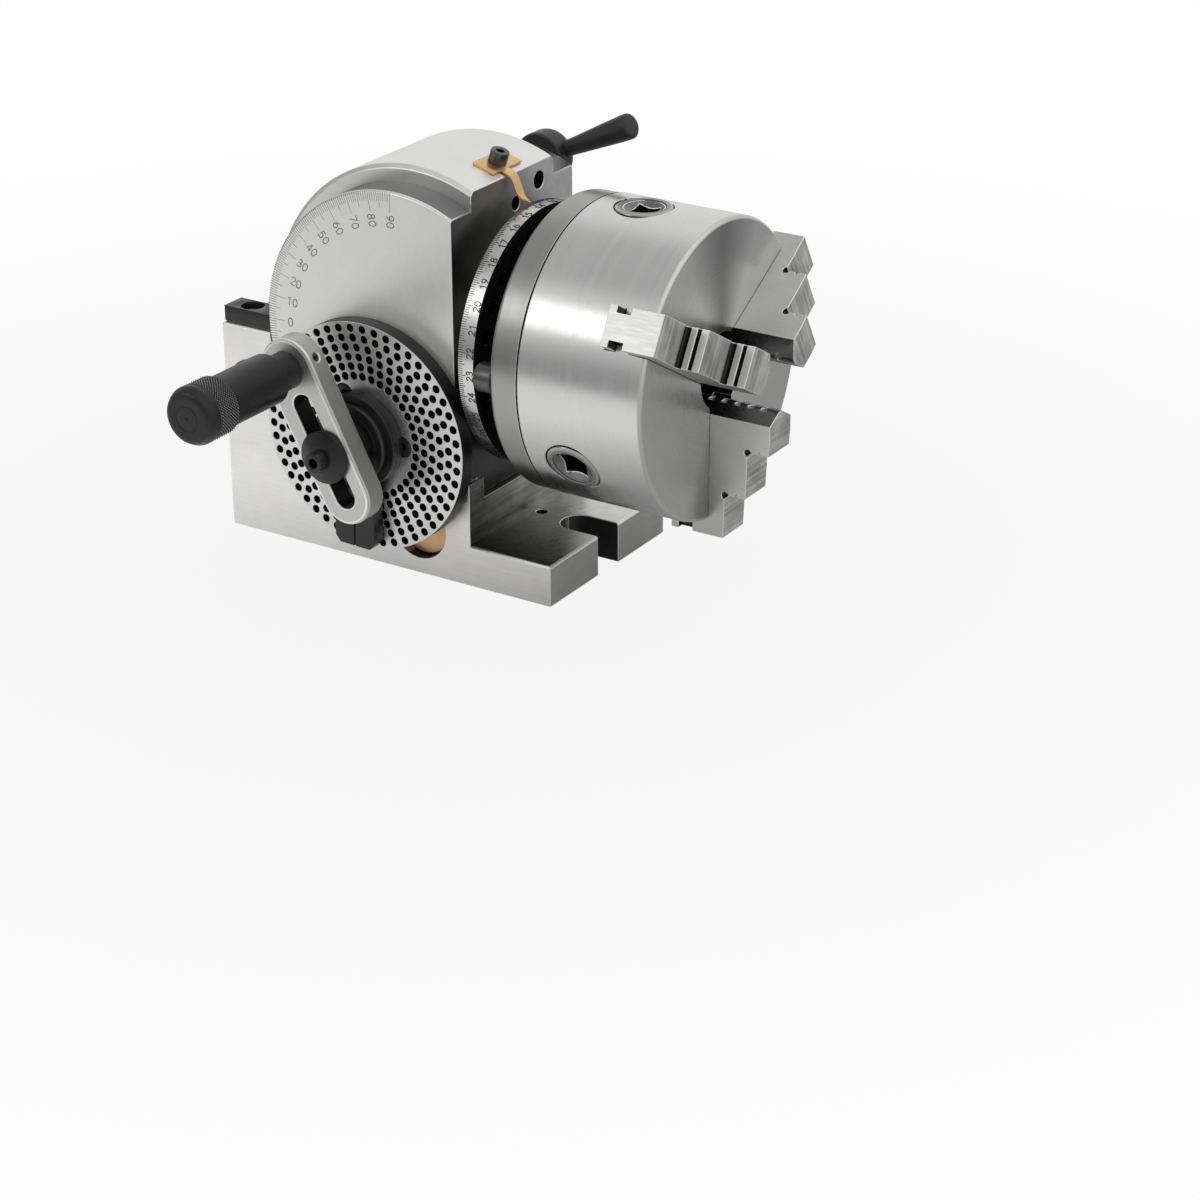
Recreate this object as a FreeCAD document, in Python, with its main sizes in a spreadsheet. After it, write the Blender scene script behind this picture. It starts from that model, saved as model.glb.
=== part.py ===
import FreeCAD, Part
import math
import os
import re
import Sketcher

# Dividing head with a tilting body, an index plate and a three-jaw chuck.
# Millimetres, +Z up. The origin lies on the base's bottom face, under the crossing of
# the tilt axis (along Y) and the spindle axis (along X, chuck at +X).

SIZES = [
    # Base
    ("centre_height", 100, "tilt axis and spindle axis above the bottom face"),
    ("base_front", 75, "tilt axis to the front end of the foot"),
    ("base_rear", 90.5, "tilt axis to the rear end"),
    ("base_width", 90, "across the two cheeks"),
    ("block_height", 93, "top of the rear block"),
    ("block_front", 35.5, "tilt axis to the front wall of the block"),
    ("foot_height", 18, "thickness of the front foot"),
    ("cheek_thickness", 11, "wall each side of the cradle"),
    ("cradle_clearance", 0.05, "radial running fit of the discs in the cheeks"),
    ("drum_clearance", 0.6, "radial gap round the drum"),
    ("bolt_slot_width", 16, "table bolt slots and key way"),
    ("front_slot_end", 60.5, "centre of the front slot's round end"),
    ("rear_slot_end", 72, "centre of the rear slot's round end"),
    ("nut_pocket_width", 34, "room for nut and washer over the rear slot"),
    ("nut_pocket_depth", 30, "pocket length from the rear end"),
    ("nut_pocket_top", 50, "roof of the pocket"),
    ("key_way_depth", 4, "groove in the bottom for a table key"),
    ("key_way_length", 24, "from the slot's round end towards the middle"),
    ("overcut", 1, "how far cuts run past the faces they open"),
    ("edge_break", 0.8, "small bevel on machined edges"),
    ("dowel_hole_x", 40.6, "small hole in the foot"),
    ("dowel_hole_y", 1.6, ""),
    ("dowel_hole_radius", 2.5, ""),
    ("dowel_hole_depth", 9, ""),
    # Tilt clamp pads, clamp blocks and lock screws
    ("pad_x", 9.5, ""),
    ("pad_floor", 7, "wall under the pad's hole"),
    ("pad_roof", 1, "pad's hole to the level of the disc's lowest point"),
    ("pad_recess", 4.5, "pad below the cheek's face"),
    ("pad_fit", 0.02, "radial clearance of the pad"),
    ("clamp_block_length", 24.7, ""),
    ("clamp_block_width", 11.5, ""),
    ("clamp_block_height", 7, ""),
    ("clamp_block_inset", 2.5, "from the cheek's face"),
    ("clamp_block_end", 0.2, "from the rear end"),
    ("clamp_screw_x", 79.5, ""),
    ("clamp_head_radius", 6.3, ""),
    ("clamp_head_height", 4.8, ""),
    ("clamp_head_sink", 0.1, "head below the top of its block"),
    ("screw_gap", 0.3, "clearance round screw heads and shanks"),
    ("screw_end_gap", 1, "room past the end of a screw"),
    ("clamp_shank_radius", 4, ""),
    ("clamp_shank_length", 17, "under the head"),
    ("lock_screw_x", 78, ""),
    ("lock_screw_drop", 21.5, "below the top of the block"),
    ("lock_screw_radius", 6.5, ""),
    ("lock_screw_proud", 2.6, "head above the cheek's face"),
    ("lock_screw_bevel", 1.3, ""),
    # Tilting body
    ("disc_radius", 65, "end discs that turn in the cheeks"),
    ("disc_thickness", 14.5, ""),
    ("drum_radius", 72.2, "middle of the body"),
    ("drum_bevel", 1.8, ""),
    ("cut_face", 29.5, "flat front of the body"),
    ("body_hole_radius", 3.8, ""),
    ("body_hole_y", 19.5, ""),
    ("body_hole_z", 58, "above the spindle axis"),
    ("body_hole_depth", 20, ""),
    ("index_hole_radius", 3, ""),
    ("index_hole_y", 2, ""),
    ("index_hole_z", 52.6, ""),
    # Spindle and its bushes
    ("front_journal", 21, "radius"),
    ("front_bush_start", 5, ""),
    ("bush_shoulder", 1, "radial room behind the front bush"),
    ("bush_wall", 6, ""),
    ("rear_journal", 16, "radius"),
    ("rear_bush_inset", 17.2, "rear face of the rear bush, inside the drum"),
    ("rear_bush_end", 24, "front face of the rear bush, behind the tilt axis"),
    ("running_fit", 0.05, "radial clearance of journals"),
    ("end_play", 0.3, "gap between faces that turn past each other"),
    ("wheel_seat", 18, "radius under the worm wheel"),
    ("flange_radius", 38, ""),
    ("dial_seat", 30, "radius under the dial ring"),
    ("dial_back", 37.8, "rear face of the dial ring"),
    ("plate_back", 57.75, "rear face of the chuck's backplate"),
    ("nose_radius", 20, ""),
    ("nose_length", 11, ""),
    ("taper_mouth", 8.89, "radius of the taper bore at the nose"),
    ("taper_end", 7.3, "radius of the taper bore's small end and of the through bore"),
    ("taper_length", 64, ""),
    ("nut_radius", 20, ""),
    ("nut_thickness", 6, ""),
    ("nut_thread", 14.5, "radius"),
    ("spanner_slot_width", 5, ""),
    ("spanner_slot_depth", 2.5, ""),
    ("nut_well", 23, "radius of the spot face round the nut"),
    # Worm and worm wheel
    ("worm_x", -9.6, "worm axis from the tilt axis"),
    ("centre_distance", 38.6, "worm axis below the spindle axis"),
    ("wheel_radius", 31.5, "tip radius of the worm wheel"),
    ("wheel_width", 16, ""),
    ("wheel_cavity", 33.5, "radius of the room round the wheel"),
    ("wheel_side_gap", 1.5, ""),
    ("worm_radius", 10.1, "tip radius of the worm"),
    ("tooth_depth", 3.4, "of worm and wheel"),
    ("worm_half_length", 13, ""),
    ("worm_journal", 8, ""),
    ("tail_journal", 6, ""),
    ("tail_length", 13, ""),
    ("worm_bush_radius", 13, ""),
    ("worm_bush_start", 14.5, ""),
    ("bush_flange_radius", 24.5, ""),
    ("bush_flange_thickness", 3, ""),
    # Index plate and sector
    ("plate_radius", 49.5, ""),
    ("plate_thickness", 7.5, ""),
    ("plate_bevel", 0.5, ""),
    ("hole_radius", 1.5, "index holes, across their flats"),
    ("first_circle", 26.3, "radius of the inner hole circle"),
    ("circle_step", 4.1, ""),
    ("plate_screw_circle", 19.5, ""),
    ("plate_screw_head", 4.25, ""),
    ("plate_screw_sink", 4, ""),
    ("plate_screw_shank", 2.5, ""),
    ("plate_screw_length", 14, "under the head"),
    ("plate_screw_low", 0.2, "head below the plate's face"),
    ("sector_ring_radius", 20, ""),
    ("sector_ring_thickness", 3.4, ""),
    ("sector_gap", 0.4, "arm clear of the plate"),
    ("sector_reach", 47.5, ""),
    ("sector_root", 22, "radius where the full thickness starts"),
    ("sector_arm_width", 10, ""),
    ("sector_tip_width", 7.5, ""),
    ("sector_tip_bevel", 3, ""),
    ("sector_edge_gap", 0.2, "half the gap between the closed arms"),
    ("sector_cap_radius", 17, ""),
    ("sector_cap_thickness", 3, ""),
    # Crank
    ("crank_hub_radius", 11, ""),
    ("crank_back", 71, "rear face of the arm from the spindle's middle plane"),
    ("crank_thickness", 10.5, ""),
    ("crank_head_radius", 13, ""),
    ("crank_tail", 18.3, "worm axis to the centre of the round tail"),
    ("crank_tail_radius", 12, ""),
    ("crank_slot_radius", 4.9, ""),
    ("crank_slot_top", 22.3, "worm axis to the centre of the slot's upper end"),
    ("slot_fit", 0.1, "shaft flats in the slot"),
    ("flat_length", 13, "of the shaft's flats along the slot"),
    ("washer_radius", 11.3, ""),
    ("washer_rim", 1.7, ""),
    ("washer_height", 4, ""),
    ("washer_top_radius", 5.6, ""),
    ("crank_screw_head", 4.25, ""),
    ("crank_screw_height", 5, ""),
    ("crank_screw_socket", 2.5, "depth of the socket"),
    ("crank_screw_shank", 2.5, ""),
    ("crank_screw_length", 19, "under the head"),
    ("set_screw_radius", 1.8, "screw that holds the plunger's guide"),
    ("set_screw_sink", 0.6, "below the arm's edge"),
    ("set_screw_socket", 2, ""),
    # Index plunger and its handle
    ("guide_radius", 8, ""),
    ("guide_spigot", 5, ""),
    ("guide_length", 15.5, "in front of the arm"),
    ("pin_radius", 3, ""),
    ("pin_fit", 0.05, ""),
    ("pin_tip_radius", 1.38, ""),
    ("pin_tip_length", 6.5, ""),
    ("pin_tip_bevel", 0.5, ""),
    ("pin_room", 1, "past the guide's end when pushed in"),
    ("pin_lift", 0.7, "tip clear of the sector arms when pulled out"),
    ("plunger_travel", 11, ""),
    ("sleeve_radius", 10.75, ""),
    ("sleeve_length", 33.6, ""),
    ("sleeve_bevel", 0.8, ""),
    ("knob_radius", 12.25, ""),
    ("knob_length", 18.3, ""),
    ("knob_round", 3.2, "rounding of the outer end, as two bevels"),
    ("knob_bevel", 0.6, "inner end"),
    ("handle_gap", 11.4, "arm to sleeve when pulled out"),
    # Direct index dial and chuck
    ("dial_radius", 54.7, ""),
    ("dial_width", 8.2, ""),
    ("dial_bevel", 0.5, ""),
    ("dial_hole_circle", 46.5, ""),
    ("dial_hole_radius", 3, "across the flats"),
    ("dial_hole_depth", 6, ""),
    ("backplate_radius", 62.1, ""),
    ("backplate_width", 13.45, ""),
    ("backplate_round", 2.5, ""),
    ("spigot_length", 3.5, ""),
    ("back_screw_circle", 55.5, ""),
    ("back_screw_head", 6.2, ""),
    ("back_screw_height", 8, ""),
    ("back_screw_shank", 3.9, ""),
    ("back_screw_length", 24, "under the head"),
    ("back_screw_bevel", 0.8, ""),
    ("chuck_radius", 62.5, ""),
    ("chuck_length", 57.2, ""),
    ("chuck_bevel", 1.2, ""),
    ("chuck_back_bevel", 0.5, "each side of the seam"),
    ("bore_floor_gap", 0.3, "hub clear of the backplate's spigot"),
    ("chuck_bore", 16, "radius of the hole through the chuck"),
    ("hub_radius", 24, ""),
    ("scroll_room", 50.6, "radius of the scroll's cavity"),
    ("jaw_seat", 109.3, "floor of the jaw ways along the spindle axis"),
    ("scroll_radius", 50.3, ""),
    ("scroll_bore", 24.3, ""),
    ("scroll_back", 100.6, ""),
    ("scroll_thickness", 8.2, ""),
    ("pinion_x", 92, ""),
    ("pinion_radius", 10.4, ""),
    ("pinion_outer", 62.1, ""),
    ("pinion_inner", 41, ""),
    ("pinion_cone", 8, ""),
    ("pinion_cone_end", 6.6, ""),
    ("pinion_stub", 3.5, ""),
    ("pinion_stub_end", 18, ""),
    ("pinion_socket", 10, "square across flats"),
    ("pinion_socket_depth", 11, ""),
    ("pinion_mouth", 8.4, ""),
    ("pinion_mouth_depth", 2, ""),
    ("pinion_bevel", 0.6, ""),
    ("web", 2, "thickness left beside a hole"),
    # Jaws
    ("jaw_width", 17, ""),
    ("jaw_clearance", 0.15, "each side of a jaw in its way"),
    ("jaw_back", 109.6, ""),
    ("jaw_step_one", 135.5, ""),
    ("jaw_step_two", 145.6, ""),
    ("jaw_step_three", 155.9, ""),
    ("jaw_outer", 68.8, ""),
    ("jaw_shoulder_one", 49.6, ""),
    ("jaw_shoulder_two", 29, ""),
    ("jaw_inner", 11.9, ""),
    ("jaw_tip_width", 2.6, ""),
    ("jaw_bevel", 0.5, "fall of each step's outer half"),
    ("jaw_tip_flat", 10.5, "level part of the last step"),
    ("rail_start", 114.3, ""),
    ("rail_width", 6.2, ""),
    ("rail_depth", 3, ""),
    ("relief_radius", 1.2, ""),
    # Pointer and lock lever
    ("pointer_angle", 17.6, "from upright, degrees"),
    ("pointer_length", 10.5, ""),
    ("pointer_width", 20.7, ""),
    ("pointer_thickness", 1, ""),
    ("pointer_screw_head", 3.9, ""),
    ("pointer_screw_height", 5, ""),
    ("pointer_screw_socket", 2, ""),
    ("pointer_screw_shank", 2.4, ""),
    ("pointer_screw_length", 9, "under the plate's face"),
    ("tongue_width", 5, ""),
    ("tongue_shift", 2.5, "middle of the tongue from the plate's middle"),
    ("tongue_flat", 3, "level run past the plate"),
    ("tongue_slope", 8, "run of the sloping part"),
    ("tongue_stay", 12.3, "part of the height over the dial that the tongue keeps"),
    ("tongue_tip", 6, "run of the last part"),
    ("tongue_tip_drop", 1.6, ""),
    ("tongue_point", 3, "length of the pointed end"),
    ("lever_x", 12, ""),
    ("lever_z", 57, "above the spindle axis"),
    ("lever_hub_radius", 11.5, ""),
    ("lever_hub_length", 14, ""),
    ("lever_stud_radius", 5, ""),
    ("lever_stud_depth", 14, ""),
    ("lever_crown", 1.5, "wall of the hub over its stud"),
    ("lever_hub_round", 3, "rounding of the end, as two bevels"),
    ("lever_root", 7.5, "hub's axis to the handle's inner end"),
    ("lever_rise", 1, "handle's axis above the hub's mid-length"),
    ("lever_reach", 46.5, ""),
    ("lever_neck", 3.4, ""),
    ("lever_grip", 5.6, "radius at the thick end"),
    ("lever_end", 3.4, "radius of the flat end"),
    ("lever_end_round", 2.8, "length of the rounding before it"),
    ("lever_angle", 25, "handle above the spindle axis direction, degrees"),
]

HOLE_COUNTS = (37, 39, 41, 43, 47, 49)
PIN_CIRCLE = 3
DIAL_HOLES = 24
HOLE_SIDES = 6
JAW_ANGLES = (30, 150, 270)
PINION_ANGLES = (90, 210, 330)
BACK_SCREW_ANGLE = 180
SECTOR_CLOSED_ANGLE = -92
HANDLE_ANGLE = 118
ROUND_SHARE = 0.29  # where a rounding's two bevels meet, as a share of its radius
SMALL = 1e-6  # lengths closer than this are taken as the same
LEAST_CUT = 1e-3  # cubic millimetres that a cut has to remove

doc = FreeCAD.newDocument("dividing_head")
sheet = doc.addObject("Spreadsheet::Sheet", "sizes")
for row, (alias, number, note) in enumerate(SIZES, start=1):
    sheet.set("A%d" % row, alias)
    sheet.set("B%d" % row, str(number))
    sheet.setAlias("B%d" % row, alias)
    sheet.set("C%d" % row, note)
doc.recompute()

ALIAS = re.compile(r"\b(%s)\b" % "|".join(alias for alias, number, note in SIZES))


def bound(formula):
    """A formula in size names, as an expression that reads the sheet."""
    return ALIAS.sub(r"sizes.\1", formula)


def value(formula):
    """The present value of a formula in size names."""
    return float(sheet.evalExpression(bound(formula)))


X_AXIS = FreeCAD.Vector(1, 0, 0)
Y_AXIS = FreeCAD.Vector(0, 1, 0)
Z_AXIS = FreeCAD.Vector(0, 0, 1)
ALONG = FreeCAD.Rotation()
OUTWARD = FreeCAD.Rotation(Z_AXIS, -90)
parts = []


def place(thing, x, y, z, rotation):
    """Set a placement whose position follows the sheet."""
    thing.Placement = FreeCAD.Placement(FreeCAD.Vector(), rotation)
    for letter, formula in zip("xyz", (x, y, z)):
        thing.setExpression("Placement.Base." + letter, bound(formula))


def new_body(label, frame):
    """A named sub-part in one of the frames below."""
    body = doc.addObject("PartDesign::Body", label)
    body.Label = label
    place(body, *frame)
    parts.append(body)
    return body


# Frames: position formulas and rotation
BASE = ("0", "0", "0", ALONG)
SPINDLE = ("0", "0", "centre_height", ALONG)
WORM = ("worm_x", "0", "centre_height - centre_distance", OUTWARD)


def around_spindle(angle):
    """Spindle frame with its Z axis along the radius at this angle."""
    return ("0", "0", "centre_height", FreeCAD.Rotation(X_AXIS, angle - 90))


def around_worm(angle):
    """Worm frame, turned so that local +Z points along this angle in the plate's face."""
    return WORM[:3] + (OUTWARD.multiply(FreeCAD.Rotation(X_AXIS, angle - 90)),)


def origin(body, role):
    """The body's own plane or axis of this role."""
    return next(f for f in body.Origin.OriginFeatures if f.Role == role)


def new_sketch(body, plane, offset="0", lift="0", lean="0"):
    """A sketch at an offset along its plane's normal, lifted up the plane, then leaned in it."""
    sketch = body.newObject("Sketcher::SketchObject", body.Label + "_sketch")
    sketch.AttachmentSupport = [(origin(body, plane), "")]
    sketch.MapMode = "FlatFace"
    sketch.setExpression("AttachmentOffset.Base.z", bound(offset))
    sketch.setExpression("AttachmentOffset.Base.y", bound(lift))
    sketch.setExpression("AttachmentOffset.Rotation.Angle", bound(lean))
    doc.recompute([sketch])
    return sketch


def route(body, plane, corners):
    """An open path of straight runs."""
    sketch = new_sketch(body, plane)
    points = [FreeCAD.Vector(value(a), value(b), 0) for a, b in corners]
    for index, (start, end) in enumerate(zip(points, points[1:])):
        sketch.addGeometry(Part.LineSegment(start, end), False)
        pin_point(sketch, index, 1, *corners[index])
        pin_point(sketch, index, 2, *corners[index + 1])
    return sketch


def pin_point(sketch, index, end, across, up):
    """Tie one sketch point's coordinates to formulas."""
    for kind, formula in (("DistanceX", across), ("DistanceY", up)):
        row = sketch.addConstraint(Sketcher.Constraint(kind, index, end, value(formula)))
        sketch.setExpression("Constraints[%d]" % row, bound(formula))


def outline(body, plane, corners, offset="0", lift="0", lean="0"):
    """A closed outline of straight sides; each corner is two formulas."""
    sketch = new_sketch(body, plane, offset, lift, lean)
    points = [FreeCAD.Vector(value(a), value(b), 0) for a, b in corners]
    for start, end in zip(points, points[1:] + points[:1]):
        sketch.addGeometry(Part.LineSegment(start, end), False)
    last = len(points) - 1
    for index in range(len(points)):
        after = 0 if index == last else index + 1
        sketch.addConstraint(Sketcher.Constraint("Coincident", index, 2, after, 1))
    for index, (across, up) in enumerate(corners):
        pin_point(sketch, index, 1, across, up)
    return sketch


def rectangle(body, plane, left, right, bottom, top, offset="0"):
    """A four-sided outline between two formulas each way."""
    return outline(body, plane, [(left, bottom), (right, bottom), (right, top), (left, top)], offset)


def many_sided(body, plane, across, up, radius, offset="0"):
    """A small hole's outline with flats, for holes that repeat many times."""
    half_side = 180 / HOLE_SIDES
    corner = "%s / cos(%g)" % (radius, half_side)
    corners = []
    for index in range(HOLE_SIDES):
        turned = (2 * index + 1) * half_side
        corners.append(("%s + %s * cos(%g)" % (across, corner, turned),
                        "%s + %s * sin(%g)" % (up, corner, turned)))
    return outline(body, plane, corners, offset)


def circle(body, plane, across, up, radius, offset="0"):
    """A round outline."""
    sketch = new_sketch(body, plane, offset)
    centre = FreeCAD.Vector(value(across), value(up), 0)
    sketch.addGeometry(Part.Circle(centre, Z_AXIS, value(radius)), False)
    pin_point(sketch, 0, 3, across, up)
    row = sketch.addConstraint(Sketcher.Constraint("Radius", 0, value(radius)))
    sketch.setExpression("Constraints[%d]" % row, bound(radius))
    return sketch


def belt(body, plane, top, top_radius, bottom, bottom_radius, offset="0"):
    """Two round ends on the sketch's upright axis, joined by tangent sides."""
    sketch = new_sketch(body, plane, offset)
    high, low = value(top), value(bottom)
    big, small = value(top_radius), value(bottom_radius)
    lean = (small - big) / (high - low)
    side = FreeCAD.Vector((1 - lean ** 2) ** 0.5, -lean, 0)
    other = FreeCAD.Vector(-side.x, side.y, 0)
    ends = [FreeCAD.Vector(0, high, 0), FreeCAD.Vector(0, low, 0)]
    corner = [ends[0] + side * big, ends[0] + other * big, ends[1] + other * small, ends[1] + side * small]
    crown = [ends[0] + FreeCAD.Vector(0, big, 0), ends[1] - FreeCAD.Vector(0, small, 0)]
    sketch.addGeometry(Part.Arc(corner[0], crown[0], corner[1]), False)
    sketch.addGeometry(Part.LineSegment(corner[1], corner[2]), False)
    sketch.addGeometry(Part.Arc(corner[2], crown[1], corner[3]), False)
    sketch.addGeometry(Part.LineSegment(corner[3], corner[0]), False)
    for first, first_end, second, second_end in ((0, 2, 1, 1), (1, 2, 2, 1), (2, 2, 3, 1), (3, 2, 0, 1)):
        sketch.addConstraint(Sketcher.Constraint("Tangent", first, first_end, second, second_end))
    for index, height, radius in ((0, top, top_radius), (2, bottom, bottom_radius)):
        pin_point(sketch, index, 3, "0", height)
        row = sketch.addConstraint(Sketcher.Constraint("Radius", index, value(radius)))
        sketch.setExpression("Constraints[%d]" % row, bound(radius))
    return sketch


def feature(body, kind, sketch):
    made = body.newObject("PartDesign::" + kind, body.Label + "_" + kind.lower())
    made.Profile = sketch
    return made


def pad(body, sketch, length, both=False, back=False):
    """Raise a sketch into a solid."""
    made = feature(body, "Pad", sketch)
    made.setExpression("Length", bound(length))
    made.SideType = "Symmetric" if both else "One side"
    made.Reversed = back
    doc.recompute()
    return made


def removed(body, made):
    """Turn a cut round if it pointed away from the solid, and prove that it cuts."""
    before = made.BaseFeature.Shape.Volume
    doc.recompute()
    if not made.isValid() or before - made.Shape.Volume < LEAST_CUT:
        made.Reversed = not made.Reversed
        doc.recompute()
    if before - made.Shape.Volume < LEAST_CUT:
        raise RuntimeError("a cut removes nothing: " + body.Label)
    return made


def pocket(body, sketch, depth, both=False):
    """Cut a sketch into a solid."""
    made = feature(body, "Pocket", sketch)
    made.setExpression("Length", bound(depth))
    made.SideType = "Symmetric" if both else "One side"
    return removed(body, made)


def turn(body, corners, plane="XZ_Plane", lift="0"):
    """A turned solid: corners are pairs of distance along the axis and radius."""
    made = feature(body, "Revolution", outline(body, plane, corners, "0", lift))
    made.ReferenceAxis = (made.Profile[0], ["H_Axis"])
    made.Angle = 360
    doc.recompute()
    return made


def bore(body, corners, plane="XZ_Plane", lean="0"):
    """A turned cut, about the sketch's level axis."""
    made = feature(body, "Groove", outline(body, plane, corners, lean=lean))
    made.ReferenceAxis = (made.Profile[0], ["H_Axis"])
    made.Angle = 360
    return removed(body, made)


def ring_of(body, originals, count, axis="X_Axis"):
    """Repeat features evenly round one of the body's axes."""
    made = body.newObject("PartDesign::PolarPattern", body.Label + "_ring")
    made.Originals = originals
    made.Axis = (origin(body, axis), [""])
    made.Angle = 360
    made.Occurrences = count
    body.Tip = made
    doc.recompute()
    return made


def dress(body, kind, size, wanted):
    """Bevel or round the edges that a test picks."""
    tip = body.Tip
    names = ["Edge%d" % (i + 1) for i, edge in enumerate(tip.Shape.Edges) if wanted(edge)]
    made = body.newObject("PartDesign::" + kind, body.Label + "_" + kind.lower())
    made.Base = (tip, names)
    made.setExpression("Size" if kind == "Chamfer" else "Radius", bound(size))
    doc.recompute()
    return made


def tube(start, end, outer, inner):
    """Corners of a plain ring."""
    return [(start, inner), (end, inner), (end, outer), (start, outer)]


def rod(start, end, radius):
    """Corners of a plain rod."""
    return [(start, "0"), (end, "0"), (end, radius), (start, radius)]


def mirrored(corners):
    """The same turned corners on the other side of the body's middle plane."""
    return [("-(%s)" % along, radius) for along, radius in corners]


def screw_corners(seat, head, socket, length, head_radius, shank):
    """A socket-head screw: its seat, head height, socket depth, length under the seat and radii."""
    top = "%s + %s" % (seat, head)
    end = "%s - %s" % (seat, length)
    floor = "%s - %s" % (top, socket)
    key = head_radius + " / 2"
    return [(end, "0"), (floor, "0"), (floor, key), (top, key), (top, head_radius), (seat, head_radius),
            (seat, shank), (end, shank)]


# Places along the worm axis, measured outward from the spindle's middle plane
HALF = "base_width / 2"
PLATE_BACK = HALF + " + bush_flange_thickness"
PLATE_FRONT = PLATE_BACK + " + plate_thickness"
RING_SPLIT = PLATE_FRONT + " + sector_ring_thickness"
SECTOR_FRONT = RING_SPLIT + " + sector_ring_thickness"
CAP_FRONT = SECTOR_FRONT + " + sector_cap_thickness"
CRANK_FRONT = "crank_back + crank_thickness"
WASHER_FRONT = CRANK_FRONT + " + washer_height"
SLEEVE_BACK = CRANK_FRONT + " + handle_gap"
SLEEVE_FRONT = SLEEVE_BACK + " + sleeve_length"
KNOB_FRONT = SLEEVE_FRONT + " + knob_length"
SEAT_DEPTH = "clamp_head_sink + clamp_head_height"
PAD_RADIUS = "(centre_height - disc_radius - pad_floor - pad_roof) / 2"
PAD_HEIGHT = "pad_floor + " + PAD_RADIUS
LOCK_HEIGHT = "block_height - lock_screw_drop"
PIN_TIP = SECTOR_FRONT + " + pin_lift"
GUIDE_FRONT = CRANK_FRONT + " + guide_length"

# Places along the spindle axis
DIAL_FRONT = "dial_back + dial_width"
CHUCK_BACK = "plate_back + backplate_width"
CHUCK_FRONT = CHUCK_BACK + " + chuck_length"
SPIGOT_FRONT = CHUCK_BACK + " + spigot_length"
REAR_FACE = "-(drum_radius - rear_bush_inset)"
WHEEL_START = "worm_x - wheel_width / 2"
WHEEL_END = "worm_x + wheel_width / 2"


def make_base():
    """Block with a half-round cradle between two cheeks, and a slotted foot in front."""
    body = new_body("base_casting", BASE)
    side = outline(body, "XZ_Plane", [
        ("-base_rear", "0"), ("base_front", "0"), ("base_front", "foot_height"),
        ("block_front", "foot_height"), ("block_front", "block_height"), ("-base_rear", "block_height")])
    block = pad(body, side, "base_width", both=True)
    dress(body, "Chamfer", "edge_break", outer_edges)
    cheeks = circle(body, "XZ_Plane", "0", "centre_height", "disc_radius + cradle_clearance")
    pocket(body, cheeks, "base_width + 2 * overcut", both=True)
    room = circle(body, "XZ_Plane", "0", "centre_height", "drum_radius + drum_clearance")
    pocket(body, room, "base_width - 2 * cheek_thickness", both=True)
    inward = "bolt_slot_width / 2 + key_way_length"
    bolt_slot(body, "base_front + overcut", "front_slot_end", "front_slot_end - (%s)" % inward)
    bolt_slot(body, "-base_rear - overcut", "-rear_slot_end", "-rear_slot_end + " + inward)
    nut_room = rectangle(body, "XY_Plane", "-base_rear - overcut", "nut_pocket_depth - base_rear",
                         "-nut_pocket_width / 2", "nut_pocket_width / 2", "foot_height")
    deepen(body, nut_room, "nut_pocket_top - foot_height")
    dowel = circle(body, "XY_Plane", "dowel_hole_x", "dowel_hole_y", "dowel_hole_radius", "foot_height")
    pocket(body, dowel, "dowel_hole_depth")
    for sign in ("-", ""):
        pad_hole = circle(body, "XZ_Plane", "pad_x", PAD_HEIGHT, PAD_RADIUS, sign + "base_width / 2")
        pocket(body, pad_hole, "cheek_thickness")
        lock_hole = circle(body, "XZ_Plane", "-lock_screw_x", LOCK_HEIGHT,
                           "clamp_shank_radius + screw_gap", sign + "base_width / 2")
        pocket(body, lock_hole, "cheek_thickness")
        screw_hole = circle(body, "XY_Plane", "-clamp_screw_x", clamp_middle(sign),
                            "clamp_shank_radius + screw_gap", "block_height")
        pocket(body, screw_hole, "clamp_shank_length + screw_end_gap - clamp_block_height + " + SEAT_DEPTH)


def outer_edges(edge):
    """Long straight edges along Y, apart from the ones in the foot's inner corner."""
    start, end = edge.Vertexes[0].Point, edge.Vertexes[-1].Point
    inner = abs(start.x - value("block_front")) < SMALL and abs(start.z - value("foot_height")) < SMALL
    return not inner and abs(start.z) > SMALL


def clamp_middle(sign):
    """Mid-width of a clamp block on one cheek."""
    return sign + "(base_width / 2 - clamp_block_inset - clamp_block_width / 2)"


def bolt_slot(body, end, middle, key_end):
    """Open slot for a table bolt, with a round inner end and a shallow way for a table key."""
    half = "bolt_slot_width / 2"
    deepen(body, rectangle(body, "XY_Plane", end, middle, "-" + half, half), "foot_height")
    deepen(body, circle(body, "XY_Plane", middle, "0", half), "foot_height")
    deepen(body, rectangle(body, "XY_Plane", middle, key_end, "-" + half, half), "key_way_depth")


def deepen(body, sketch, depth):
    """Cut upward from a level sketch."""
    made = feature(body, "Pocket", sketch)
    made.setExpression("Length", bound(depth))
    made.Reversed = True
    doc.recompute()
    if made.BaseFeature.Shape.Volume - made.Shape.Volume < LEAST_CUT:
        raise RuntimeError("a cut removes nothing: " + body.Label)
    return made


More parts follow.
